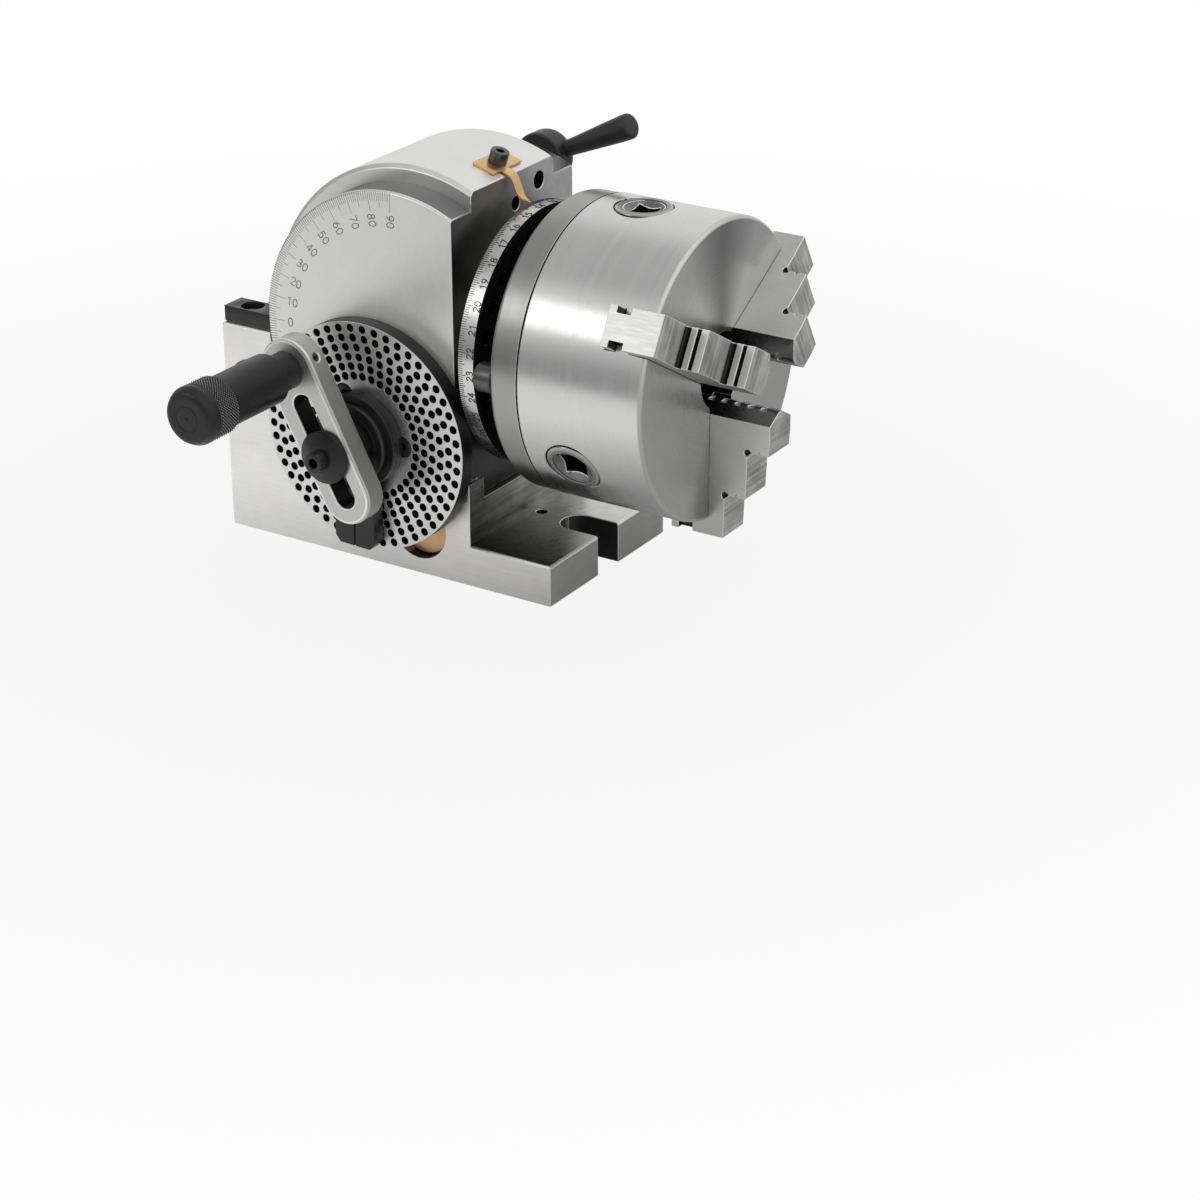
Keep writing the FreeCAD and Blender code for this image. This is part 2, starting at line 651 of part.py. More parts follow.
def make_base_fittings():
    """Bronze clamp pads, clamp blocks with cap screws, and the tilt lock screws."""
    body = new_body("clamp_pads", ("pad_x", "0", PAD_HEIGHT, OUTWARD))
    inner = "base_width / 2 - cheek_thickness"
    face = "base_width / 2 - pad_recess"
    pad_edge = PAD_RADIUS + " - pad_fit"
    pad_corners = [(inner, "0"), (face, "0"), (face, pad_edge + " - edge_break"),
                   (face + " - edge_break", pad_edge), (inner, pad_edge)]
    turn(body, pad_corners)
    turn(body, mirrored(pad_corners))
    make_clamp_blocks()
    body = new_body("clamp_screws", ("-clamp_screw_x", "0", "block_height + clamp_block_height", ALONG))
    seat = "-(%s)" % SEAT_DEPTH
    for sign in ("-", ""):
        middle = clamp_middle(sign)
        pad(body, circle(body, "XY_Plane", "0", middle, "clamp_head_radius", seat), "clamp_head_height")
        shank = circle(body, "XY_Plane", "0", middle, "clamp_shank_radius", seat)
        pad(body, shank, "clamp_shank_length", back=True)
        socket = circle(body, "XY_Plane", "0", middle, "clamp_head_radius / 2", "-clamp_head_sink")
        pocket(body, socket, "clamp_head_height / 2")
    body = new_body("tilt_lock_screws", ("-lock_screw_x", "0", LOCK_HEIGHT, OUTWARD))
    proud = "base_width / 2 + lock_screw_proud"
    lock_corners = [(inner, "0"), (proud, "0"), (proud, "lock_screw_radius - lock_screw_bevel"),
                    (proud + " - lock_screw_bevel", "lock_screw_radius"), (HALF, "lock_screw_radius"),
                    (HALF, "clamp_shank_radius"), (inner, "clamp_shank_radius")]
    turn(body, lock_corners)
    turn(body, mirrored(lock_corners))


def make_clamp_blocks():
    """Two blocks on the rear of the cheeks, bored for their cap screws."""
    body = new_body("clamp_blocks", BASE)
    rear = "clamp_block_end - base_rear"
    top = "block_height + clamp_block_height"
    half = " clamp_block_width / 2"
    for sign in ("-", ""):
        middle = clamp_middle(sign)
        shape = rectangle(body, "XY_Plane", rear, rear + " + clamp_block_length",
                          middle + " -" + half, middle + " +" + half, "block_height")
        pad(body, shape, "clamp_block_height")
    level = value(top)
    dress(body, "Chamfer", "edge_break", lambda e: all(abs(v.Point.z - level) < SMALL for v in e.Vertexes))
    for sign in ("-", ""):
        middle = clamp_middle(sign)
        well = circle(body, "XY_Plane", "-clamp_screw_x", middle, "clamp_head_radius + screw_gap", top)
        pocket(body, well, SEAT_DEPTH)
        hole = circle(body, "XY_Plane", "-clamp_screw_x", middle, "clamp_shank_radius + screw_gap", top)
        pocket(body, hole, "clamp_block_height")


def make_swivel_body():
    """Tilting housing: a drum between two discs, cut flat in front and bored for spindle and worm."""
    body = new_body("swivel_casting", SPINDLE)
    shoulder = "base_width / 2 - disc_thickness"
    profile = [
        ("-base_width / 2", "0"), ("base_width / 2", "0"), ("base_width / 2", "disc_radius - edge_break"),
        ("base_width / 2 - edge_break", "disc_radius"), (shoulder, "disc_radius"),
        (shoulder, "drum_radius - drum_bevel"), (shoulder + " - drum_bevel", "drum_radius"),
        ("drum_bevel - (%s)" % shoulder, "drum_radius"), ("-(%s)" % shoulder, "drum_radius - drum_bevel"),
        ("-(%s)" % shoulder, "disc_radius"), ("edge_break - base_width / 2", "disc_radius"),
        ("-base_width / 2", "disc_radius - edge_break")]
    turn(body, profile, plane="YZ_Plane")
    flat = rectangle(body, "YZ_Plane", "-base_width", "base_width",
                     "-drum_radius - overcut", "drum_radius + overcut", "cut_face")
    deepen(body, flat, "drum_radius")
    bore(body, [
        ("-drum_radius - overcut", "0"), ("cut_face + overcut", "0"),
        ("cut_face + overcut", "front_journal + bush_wall"),
        ("front_bush_start", "front_journal + bush_wall"),
        ("front_bush_start", "front_journal + bush_shoulder"),
        (WHEEL_END + " + wheel_side_gap", "front_journal + bush_shoulder"),
        (WHEEL_END + " + wheel_side_gap", "wheel_cavity"),
        (WHEEL_START + " - wheel_side_gap", "wheel_cavity"),
        (WHEEL_START + " - wheel_side_gap", "rear_journal + bush_wall"),
        (REAR_FACE, "rear_journal + bush_wall"), (REAR_FACE, "nut_well"),
        ("-drum_radius - overcut", "nut_well")])
    worm_seat = circle(body, "XZ_Plane", "worm_x", "-centre_distance", "worm_bush_radius + running_fit",
                       "base_width / 2")
    pocket(body, worm_seat, "base_width / 2 + worm_bush_start")
    tail = circle(body, "XZ_Plane", "worm_x", "-centre_distance", "tail_journal + running_fit", "0")
    pocket(body, tail, "2 * (worm_half_length + tail_length + screw_end_gap)", both=True)
    for across, up, radius in (("body_hole_y", "body_hole_z", "body_hole_radius"),
                               ("index_hole_y", "index_hole_z", "index_hole_radius")):
        pocket(body, circle(body, "YZ_Plane", across, up, radius, "cut_face"), "body_hole_depth")
    stud = circle(body, "XZ_Plane", "lever_x", "lever_z", "lever_stud_radius + running_fit", "-base_width / 2")
    pocket(body, stud, "lever_stud_depth")
    for angle in plate_screw_angles():
        thread = circle(body, "XZ_Plane", *plate_screw_place(angle), "plate_screw_shank + screw_gap", HALF)
        pocket(body, thread, "plate_screw_length")
    bore(body, rod("drum_radius - pointer_screw_length - screw_end_gap", "drum_radius + overcut",
                   "pointer_screw_shank + screw_gap"), lean="90 - pointer_angle")


def plate_screw_angles():
    """Angles of the index plate's screws, as seen from the crank."""
    return [HANDLE_ANGLE + 120 * index for index in range(3)]


def plate_screw_place(angle):
    """Place of an index plate screw in the tilting body's upright plane."""
    return ("worm_x + plate_screw_circle * cos(%d)" % angle,
            "-centre_distance + plate_screw_circle * sin(%d)" % angle)


def make_bushes():
    body = new_body("front_bush", SPINDLE)
    front_bore = "front_journal + running_fit"
    turn(body, tube("front_bush_start", "cut_face", "front_journal + bush_wall", front_bore))
    body = new_body("rear_bush", SPINDLE)
    turn(body, tube(REAR_FACE, "-rear_bush_end", "rear_journal + bush_wall", "rear_journal + running_fit"))
    body = new_body("worm_bush", around_worm(HANDLE_ANGLE))
    turn(body, [
        ("worm_bush_start", "worm_journal + running_fit"), (CAP_FRONT, "worm_journal + running_fit"),
        (CAP_FRONT, "worm_bush_radius"), (PLATE_BACK, "worm_bush_radius"),
        (PLATE_BACK, "bush_flange_radius"), (HALF, "bush_flange_radius"),
        (HALF, "worm_bush_radius"), ("worm_bush_start", "worm_bush_radius")])
    hole = circle(body, "YZ_Plane", "0", "plate_screw_circle", "plate_screw_shank + screw_gap", PLATE_BACK)
    ring_of(body, [pocket(body, hole, "bush_flange_thickness")], 3)


def round_wire(radius, along, throw=0):
    """A full circle across the body's X axis."""
    return Part.Wire(Part.makeCircle(radius, FreeCAD.Vector(along, 0, throw), X_AXIS))


def index_hole_wire(along, throw, angle):
    """A small hole's outline with flats, at this angle of its circle."""
    corner = FreeCAD.Vector(0, 0, value("hole_radius") / math.cos(math.pi / HOLE_SIDES))
    centre = FreeCAD.Vector(along, 0, throw)
    turns = [FreeCAD.Rotation(X_AXIS, 360 * index / HOLE_SIDES) for index in range(HOLE_SIDES)]
    points = [FreeCAD.Rotation(X_AXIS, angle).multVec(centre + step.multVec(corner)) for step in turns]
    return Part.makePolygon(points + points[:1])


def make_index_plate():
    """Plate drilled through with six circles of index holes, on the flange of the worm bush."""
    back = value(PLATE_BACK)
    thickness = value("plate_thickness")
    rim = value("plate_radius")
    wires = [round_wire(rim, back), round_wire(value("worm_bush_radius"), back)]
    for index, count in enumerate(HOLE_COUNTS):
        throw = value("first_circle + %d * circle_step" % index)
        wires += [index_hole_wire(back, throw, 360 * step / count) for step in range(count)]
    blank = Part.makeFace(wires, "Part::FaceMakerBullseye").extrude(X_AXIS * thickness)
    rims = [edge for edge in blank.Edges if abs(edge_radius(edge) - rim) < SMALL]
    blank = blank.makeChamfer(value("plate_bevel"), rims)
    tools = []
    for index in range(3):
        turned = FreeCAD.Rotation(X_AXIS, 120 * index)
        centre = turned.multVec(FreeCAD.Vector(back, 0, value("plate_screw_circle")))
        sink = X_AXIS * (thickness - value("plate_screw_sink"))
        for radius, start in (("plate_screw_shank", centre), ("plate_screw_head", centre + sink)):
            tools.append(Part.makeCylinder(value(radius + " + screw_gap"), thickness, start, X_AXIS))
    plate = doc.addObject("Part::Feature", "index_plate")
    plate.Label = "index_plate"
    plate.Shape = blank.cut(tools).Solids[0]
    place(plate, *around_worm(HANDLE_ANGLE))
    parts.append(plate)
    body = new_body("index_plate_screws", around_worm(HANDLE_ANGLE))
    screw = turn(body, screw_corners(
        PLATE_FRONT + " - plate_screw_sink", "plate_screw_sink - plate_screw_low", "plate_screw_sink / 2",
        "plate_screw_length", "plate_screw_head", "plate_screw_shank"), lift="plate_screw_circle")
    ring_of(body, [screw], 3)


THROW = "first_circle + %d * circle_step" % PIN_CIRCLE


def make_sector():
    """Two sector arms on the nose of the worm bush, and the cap that holds them."""
    back_ring = tube(PLATE_FRONT, RING_SPLIT, "sector_ring_radius", "worm_bush_radius + running_fit")
    front_ring = tube(RING_SPLIT, SECTOR_FRONT, "sector_ring_radius", "worm_bush_radius + running_fit")
    for label, ring, start, side in (("sector_arm_rear", back_ring, PLATE_FRONT, ""),
                                     ("sector_arm_front", front_ring, RING_SPLIT, "-")):
        body = new_body(label, around_worm(SECTOR_CLOSED_ANGLE))
        turn(body, ring)
        inner = "(worm_bush_radius + sector_ring_radius) / 2"
        root = rectangle(body, "YZ_Plane", side + "sector_edge_gap", side + "sector_arm_width",
                         inner, "sector_root + overcut", start)
        pad(body, root, "sector_ring_thickness")
        arm = outline(body, "YZ_Plane", [
            (side + "sector_edge_gap", "sector_root"), (side + "sector_edge_gap", "sector_reach"),
            (side + "sector_tip_width", "sector_reach"),
            (side + "sector_arm_width", "sector_reach - sector_tip_bevel"),
            (side + "sector_arm_width", "sector_root")], PLATE_FRONT + " + sector_gap")
        pad(body, arm, "2 * sector_ring_thickness - sector_gap")
    body = new_body("sector_cap", WORM)
    turn(body, [
        (SECTOR_FRONT, "worm_bush_radius"), (CAP_FRONT, "worm_bush_radius"),
        (CAP_FRONT, "sector_cap_radius - edge_break"), (CAP_FRONT + " - edge_break", "sector_cap_radius"),
        (SECTOR_FRONT, "sector_cap_radius")])


def make_worm():
    """Worm shaft with its collar and the flats that carry the crank."""
    body = new_body("worm_shaft", around_worm(HANDLE_ANGLE))
    tail_end = "-worm_half_length - tail_length"
    turn(body, [
        (tail_end, "0"), ("crank_back", "0"), ("crank_back", "crank_hub_radius"),
        (CAP_FRONT + " + end_play", "crank_hub_radius"), (CAP_FRONT + " + end_play", "worm_journal"),
        ("worm_half_length", "worm_journal"), ("worm_half_length", "worm_radius - tooth_depth"),
        ("-worm_half_length", "worm_radius - tooth_depth"), ("-worm_half_length", "tail_journal"),
        (tail_end, "tail_journal")])
    half = "(crank_slot_radius - slot_fit)"
    flats = rectangle(body, "YZ_Plane", "-" + half, half, "-flat_length / 2", "flat_length / 2", "crank_back")
    pad(body, flats, "crank_thickness - slot_fit")
    thread = circle(body, "YZ_Plane", "0", "0", "crank_screw_shank + screw_gap", CRANK_FRONT)
    pocket(body, thread, "crank_screw_length")


def make_crank():
    """Slotted crank arm, its washer and screw, and the set screw in its edge."""
    body = new_body("crank_arm", around_worm(HANDLE_ANGLE))
    arm = belt(body, "YZ_Plane", THROW, "crank_head_radius", "-crank_tail", "crank_tail_radius", "crank_back")
    pad(body, arm, "crank_thickness")
    front = value(CRANK_FRONT)
    dress(body, "Chamfer", "edge_break", lambda e: all(abs(v.Point.x - front) < SMALL for v in e.Vertexes))
    slot = belt(body, "YZ_Plane", "crank_slot_top", "crank_slot_radius",
                "-crank_tail", "crank_slot_radius", CRANK_FRONT)
    pocket(body, slot, "crank_thickness")
    seat = circle(body, "YZ_Plane", "0", THROW, "guide_spigot", CRANK_FRONT)
    pocket(body, seat, "crank_thickness")
    edge = "-crank_head_radius - overcut"
    middle = "crank_back + crank_thickness / 2"
    side_hole = circle(body, "XZ_Plane", middle, THROW, "set_screw_radius + pad_fit", edge)
    pocket(body, side_hole, "crank_head_radius - guide_spigot + overcut")
    body = new_body("crank_set_screw", around_worm(HANDLE_ANGLE))
    outer = "set_screw_sink - crank_head_radius"
    grub = circle(body, "XZ_Plane", middle, THROW, "set_screw_radius", outer)
    pad(body, grub, "crank_head_radius - set_screw_sink - guide_spigot")
    key_hole = circle(body, "XZ_Plane", middle, THROW, "set_screw_radius / 2", outer)
    pocket(body, key_hole, "set_screw_socket")
    body = new_body("crank_washer", around_worm(HANDLE_ANGLE))
    turn(body, [
        (CRANK_FRONT, "crank_screw_shank + screw_gap"), (WASHER_FRONT, "crank_screw_shank + screw_gap"),
        (WASHER_FRONT, "washer_top_radius"), (CRANK_FRONT + " + washer_rim", "washer_radius"),
        (CRANK_FRONT, "washer_radius")])
    body = new_body("crank_screw", around_worm(HANDLE_ANGLE))
    turn(body, screw_corners(WASHER_FRONT, "crank_screw_height", "crank_screw_socket", "crank_screw_length",
                             "crank_screw_head", "crank_screw_shank"))


def make_plunger():
    """Spring plunger: a guide in the arm, the index pin, and the sleeve with its knurled knob."""
    body = new_body("plunger_guide", around_worm(HANDLE_ANGLE))
    turn(body, [
        ("crank_back", "pin_radius + pin_fit"), (GUIDE_FRONT, "pin_radius + pin_fit"),
        (GUIDE_FRONT, "guide_radius"), (CRANK_FRONT, "guide_radius"), (CRANK_FRONT, "guide_spigot"),
        ("crank_back", "guide_spigot")], lift=THROW)
    body = new_body("index_pin", around_worm(HANDLE_ANGLE))
    cavity_end = GUIDE_FRONT + " + plunger_travel + pin_room"
    turn(body, [
        (PIN_TIP, "0"), (cavity_end, "0"), (cavity_end, "pin_radius"),
        (PIN_TIP + " + pin_tip_length", "pin_radius"), (PIN_TIP + " + pin_tip_length", "pin_tip_radius"),
        (PIN_TIP + " + pin_tip_bevel", "pin_tip_radius"), (PIN_TIP, "pin_tip_radius - pin_tip_bevel")],
        lift=THROW)
    body = new_body("plunger_handle", around_worm(HANDLE_ANGLE))
    turn(body, [
        (SLEEVE_BACK, "guide_radius + pin_fit"), (cavity_end, "guide_radius + pin_fit"), (cavity_end, "0"),
        (KNOB_FRONT, "0"), (KNOB_FRONT, "knob_radius - knob_round"),
        (KNOB_FRONT + " - knob_round * %g" % ROUND_SHARE, "knob_radius - knob_round * %g" % ROUND_SHARE),
        (KNOB_FRONT + " - knob_round", "knob_radius"),
        (SLEEVE_FRONT + " + knob_bevel", "knob_radius"), (SLEEVE_FRONT, "knob_radius - knob_bevel"),
        (SLEEVE_FRONT, "sleeve_radius"), (SLEEVE_BACK + " + sleeve_bevel", "sleeve_radius"),
        (SLEEVE_BACK, "sleeve_radius - sleeve_bevel")], lift=THROW)


def make_spindle():
    """Hollow spindle with its flange and nose, rear nut and worm wheel."""
    body = new_body("spindle", SPINDLE)
    nose = "plate_back + nose_length"
    nut_face = REAR_FACE + " - end_play"
    turn(body, [
        (nut_face + " - nut_thickness", "taper_end"), (nose + " - taper_length", "taper_end"),
        (nose, "taper_mouth"), (nose, "nose_radius"), ("plate_back", "nose_radius"),
        ("plate_back", "dial_seat"), ("dial_back", "dial_seat"), ("dial_back", "flange_radius"),
        ("cut_face + end_play", "flange_radius"), ("cut_face + end_play", "front_journal"),
        (WHEEL_END, "front_journal"), (WHEEL_END, "wheel_seat"), ("-rear_bush_end", "wheel_seat"),
        ("-rear_bush_end", "rear_journal"), (nut_face, "rear_journal"), (nut_face, "nut_thread"),
        (nut_face + " - nut_thickness", "nut_thread")])
    body = new_body("spindle_nut", SPINDLE)
    turn(body, tube(nut_face + " - nut_thickness", nut_face, "nut_radius", "nut_thread"))
    spanner = rectangle(body, "YZ_Plane", "-spanner_slot_width / 2", "spanner_slot_width / 2",
                        "nut_radius - spanner_slot_depth", "nut_radius + overcut", nut_face)
    ring_of(body, [pocket(body, spanner, "nut_thickness")], 4)
    body = new_body("worm_wheel", SPINDLE)
    turn(body, tube(WHEEL_START, WHEEL_END, "wheel_radius - tooth_depth", "wheel_seat"))


def make_dial():
    """Direct index ring with a row of holes in its front face."""
    body = new_body("dial_ring", SPINDLE)
    turn(body, [
        ("dial_back", "dial_seat"), (DIAL_FRONT, "dial_seat"), (DIAL_FRONT, "dial_radius - dial_bevel"),
        (DIAL_FRONT + " - dial_bevel", "dial_radius"), ("dial_back + dial_bevel", "dial_radius"),
        ("dial_back", "dial_radius - dial_bevel")])
    hole = many_sided(body, "YZ_Plane", "0", "dial_hole_circle", "dial_hole_radius", DIAL_FRONT)
    ring_of(body, [pocket(body, hole, "dial_hole_depth")], DIAL_HOLES)


def make_chuck():
    """Backplate on the spindle nose, chuck body, scroll and pinions."""
    body = new_body("chuck_backplate", around_spindle(BACK_SCREW_ANGLE))
    turn(body, [
        ("plate_back", "nose_radius"), (SPIGOT_FRONT, "nose_radius"),
        (SPIGOT_FRONT, "scroll_room - pad_fit"), (CHUCK_BACK, "scroll_room - pad_fit"),
        (CHUCK_BACK, "backplate_radius - chuck_back_bevel"),
        (CHUCK_BACK + " - chuck_back_bevel", "backplate_radius"), ("plate_back", "backplate_radius")])
    dress(body, "Fillet", "backplate_round", back_edge)
    hole = circle(body, "YZ_Plane", "0", "back_screw_circle", "back_screw_shank + screw_gap", "plate_back")
    ring_of(body, [deepen(body, hole, "backplate_width")], 3)
    body = new_body("backplate_screws", around_spindle(BACK_SCREW_ANGLE))
    screw = turn(body, [
        ("plate_back - back_screw_height", "0"), ("plate_back + back_screw_length", "0"),
        ("plate_back + back_screw_length", "back_screw_shank"), ("plate_back", "back_screw_shank"),
        ("plate_back", "back_screw_head"),
        ("plate_back + back_screw_bevel - back_screw_height", "back_screw_head"),
        ("plate_back - back_screw_height", "back_screw_head - back_screw_bevel")], lift="back_screw_circle")
    ring_of(body, [screw], 3)
    body = new_body("chuck_body", around_spindle(JAW_ANGLES[0]))
    turn(body, [
        (CHUCK_BACK, "scroll_room"), ("jaw_seat", "scroll_room"), ("jaw_seat", "hub_radius"),
        (SPIGOT_FRONT + " + bore_floor_gap", "hub_radius"), (SPIGOT_FRONT + " + bore_floor_gap", "chuck_bore"),
        (CHUCK_FRONT, "chuck_bore"), (CHUCK_FRONT, "chuck_radius - chuck_bevel"),
        (CHUCK_FRONT + " - chuck_bevel", "chuck_radius"), (CHUCK_BACK + " + chuck_back_bevel", "chuck_radius"),
        (CHUCK_BACK, "chuck_radius - chuck_back_bevel")])
    half = "(jaw_width / 2 + jaw_clearance)"
    neck = "(jaw_width / 2 + jaw_clearance - rail_depth)"
    rail_end = "rail_start + rail_width"
    upper = [("jaw_seat", half), ("rail_start", half), ("rail_start", neck), (rail_end, neck),
             (rail_end, half), (CHUCK_FRONT + " + overcut", half)]
    lower = [(along, "-" + across) for along, across in reversed(upper)]
    ring_of(body, [deepen(body, outline(body, "XY_Plane", upper + lower), "chuck_radius")], 3)
    pinion_hole = circle(body, "XY_Plane", "pinion_x", "0", "pinion_radius + running_fit", "-chuck_radius")
    ring_of(body, [deepen(body, pinion_hole, "chuck_radius - hub_radius - web")], 3)
    stub_hole = circle(body, "XY_Plane", "pinion_x", "0", "pinion_stub + running_fit", "-hub_radius - web")
    ring_of(body, [deepen(body, stub_hole, "hub_radius + web - chuck_bore - screw_end_gap")], 3)
    turned = BACK_SCREW_ANGLE - JAW_ANGLES[1]
    screw_hole = circle(body, "YZ_Plane", "-back_screw_circle * sin(%d)" % turned,
                        "back_screw_circle * cos(%d)" % turned, "back_screw_shank + screw_gap", CHUCK_BACK)
    ring_of(body, [deepen(body, screw_hole, "back_screw_length - backplate_width + screw_end_gap")], 3)
    body = new_body("scroll_ring", SPINDLE)
    turn(body, tube("scroll_back", "scroll_back + scroll_thickness", "scroll_radius", "scroll_bore"))
    for index, angle in enumerate(PINION_ANGLES, start=1):
        make_pinion("pinion_%d" % index, angle)


def back_edge(edge):
    """The backplate's outer edge on the dial's side."""
    level = abs(edge.Vertexes[0].Point.x - value("plate_back")) < SMALL
    return level and abs(edge_radius(edge) - value("backplate_radius")) < SMALL


def edge_radius(edge):
    """Radius of a round edge, or zero."""
    return edge.Curve.Radius if isinstance(edge.Curve, Part.Circle) else 0


def make_pinion(label, angle):
    """Bevel pinion across the chuck, with a square socket for the key."""
    outward = FreeCAD.Rotation(X_AXIS, angle - 90).multiply(FreeCAD.Rotation(Y_AXIS, -90))
    body = new_body(label, ("pinion_x", "0", "centre_height", outward))
    shoulder = "scroll_room + end_play"
    turn(body, [
        ("pinion_stub_end", "0"), ("pinion_outer", "0"), ("pinion_outer", "pinion_radius - pinion_bevel"),
        ("pinion_outer - pinion_bevel", "pinion_radius"), (shoulder, "pinion_radius"),
        (shoulder, "pinion_cone"), ("pinion_inner", "pinion_cone_end"), ("pinion_inner", "pinion_stub"),
        ("pinion_stub_end", "pinion_stub")])
    bore(body, [("pinion_outer - pinion_mouth_depth", "0"), ("pinion_outer + overcut", "0"),
                ("pinion_outer + overcut", "pinion_mouth"), ("pinion_outer", "pinion_mouth"),
                ("pinion_outer - pinion_mouth_depth", "pinion_socket / 2")])
    half = "pinion_socket / 2"
    pocket(body, rectangle(body, "YZ_Plane", "-" + half, half, "-" + half, half, "pinion_outer"),
           "pinion_socket_depth")


def make_jaw(label, angle):
    """Stepped jaw with side grooves, relief holes in its corners and a wedge-shaped gripping end."""
    body = new_body(label, around_spindle(angle))
    side = outline(body, "XZ_Plane", [
        ("jaw_back", "jaw_inner"), ("jaw_step_three", "jaw_inner"),
        ("jaw_step_three", "jaw_inner + jaw_tip_flat"),
        ("jaw_step_three - jaw_bevel", "jaw_shoulder_two"), ("jaw_step_two", "jaw_shoulder_two"),
        ("jaw_step_two", "(jaw_shoulder_one + jaw_shoulder_two) / 2"),
        ("jaw_step_two - jaw_bevel", "jaw_shoulder_one"),
        ("jaw_step_one", "jaw_shoulder_one"), ("jaw_step_one", "(jaw_outer + jaw_shoulder_one) / 2"),
        ("jaw_step_one - jaw_bevel", "jaw_outer"), ("jaw_back", "jaw_outer")])
    pad(body, side, "jaw_width", both=True)
    for sign in ("", "-"):
        groove = rectangle(body, "XY_Plane", "rail_start - jaw_clearance",
                           "rail_start + rail_width + jaw_clearance",
                           sign + "(jaw_width / 2 - rail_depth)", sign + "(jaw_width / 2 + overcut)")
        deepen(body, groove, "jaw_outer")
        side_out = "(jaw_width / 2 + overcut)"
        wedge = outline(body, "YZ_Plane", [
            (sign + "jaw_tip_width / 2", "jaw_inner"),
            (sign + side_out, "jaw_inner + (%s - jaw_tip_width / 2) * tan(30)" % side_out),
            (sign + side_out, "jaw_inner - overcut"), (sign + "jaw_tip_width / 2", "jaw_inner - overcut")],
            "jaw_back")
        deepen(body, wedge, "jaw_step_three - jaw_back")
    for step, shoulder in (("jaw_step_one", "jaw_shoulder_one"), ("jaw_step_two", "jaw_shoulder_two")):
        relief = circle(body, "XZ_Plane", step, shoulder, "relief_radius")
        pocket(body, relief, "jaw_width", both=True)


def make_pointer():
    """Brass pointer plate on the drum with a bent tongue down to the dial, and its screw."""
    seat = FreeCAD.Rotation(Y_AXIS, value("pointer_angle"))
    body = new_body("pointer", SPINDLE[:3] + (seat,))
    plate = rectangle(body, "XY_Plane", "-pointer_length / 2", "pointer_length / 2",
                      "-pointer_width / 2", "pointer_width / 2", "drum_radius")
    pad(body, plate, "pointer_thickness")
    hole = circle(body, "XY_Plane", "0", "0", "pointer_screw_shank + screw_gap", "drum_radius")
    deepen(body, hole, "pointer_thickness")
    root = "pointer_length / 2 - pointer_thickness"
    section = rectangle(body, "YZ_Plane", "-tongue_shift - tongue_width / 2",
                        "tongue_width / 2 - tongue_shift", "drum_radius",
                        "drum_radius + pointer_thickness", root)
    level = "drum_radius + pointer_thickness / 2"
    bend = "pointer_length / 2 + tongue_flat"
    foot = bend + " + tongue_slope"
    tip = foot + " + tongue_tip"
    low = level + " - (drum_radius - dial_radius - tongue_stay)"
    path = route(body, "XZ_Plane", [
        (root, level), (bend, level), (foot, low), (tip, low + " - tongue_tip_drop")])
    tongue = body.newObject("PartDesign::AdditivePipe", "pointer_tongue")
    tongue.Profile = section
    tongue.Spine = (path, [])
    tongue.Transition = "Round corner"
    doc.recompute()
    for sign in ("", "-"):
        corner = outline(body, "XY_Plane", [
            (tip + " + overcut", "-tongue_shift"), (tip + " + overcut", sign + "tongue_width - tongue_shift"),
            (tip + " - tongue_point", sign + "tongue_width / 2 - tongue_shift")])
        deepen(body, corner, "drum_radius")
    body = new_body("pointer_screw", SPINDLE[:3] + (seat.multiply(FreeCAD.Rotation(Y_AXIS, -90)),))
    turn(body, screw_corners("drum_radius + pointer_thickness", "pointer_screw_height", "pointer_screw_socket",
                             "pointer_screw_length", "pointer_screw_head", "pointer_screw_shank"))


def make_lock_lever():
    """Spindle lock: a hub on a stud in the far disc, and a tapered handle seated in the hub."""
    away = FreeCAD.Rotation(Z_AXIS, 90)
    height = "centre_height + lever_z"
    body = new_body("lock_stud", ("lever_x", "0", height, away))
    top = "base_width / 2 + lever_hub_length"
    crown = top + " - lever_crown"
    turn(body, rod("base_width / 2 - lever_stud_depth", crown, "lever_stud_radius"))
    towards_handle = away.multiply(FreeCAD.Rotation(X_AXIS, 90 - value("lever_angle")))
    body = new_body("lock_lever_hub", ("lever_x", "0", height, towards_handle))
    face = "base_width / 2 + end_play"
    turn(body, [
        (face, "lever_stud_radius + running_fit"), (crown, "lever_stud_radius + running_fit"),
        (crown, "0"), (top, "0"), (top, "lever_hub_radius - lever_hub_round"),
        (top + " - lever_hub_round * %g" % ROUND_SHARE,
         "lever_hub_radius - lever_hub_round * %g" % ROUND_SHARE),
        (top + " - lever_hub_round", "lever_hub_radius"), (face, "lever_hub_radius")])
    handle_y = "base_width / 2 + lever_hub_length / 2 + lever_rise"
    socket = circle(body, "XY_Plane", handle_y, "0", "lever_neck + pad_fit", "lever_hub_radius")
    pocket(body, socket, "lever_hub_radius - lever_root")
    lean = FreeCAD.Rotation(Y_AXIS, -value("lever_angle"))
    body = new_body("lock_lever_handle", ("lever_x", handle_y, height, lean))
    turn(body, [
        ("lever_root", "0"), ("lever_reach", "0"), ("lever_reach", "lever_end"),
        ("lever_reach - lever_end_round * %g" % ROUND_SHARE,
         "lever_grip - (lever_grip - lever_end) * %g" % ROUND_SHARE),
        ("lever_reach - lever_end_round", "lever_grip"),
        ("lever_hub_radius", "lever_neck"), ("lever_root", "lever_neck")])


make_base()
make_base_fittings()
make_swivel_body()
make_bushes()
make_index_plate()
make_sector()
make_worm()
make_crank()
make_plunger()
make_spindle()
make_dial()
make_chuck()
for number, angle in enumerate(JAW_ANGLES, start=1):
    make_jaw("jaw_%d" % number, angle)
make_pointer()
make_lock_lever()

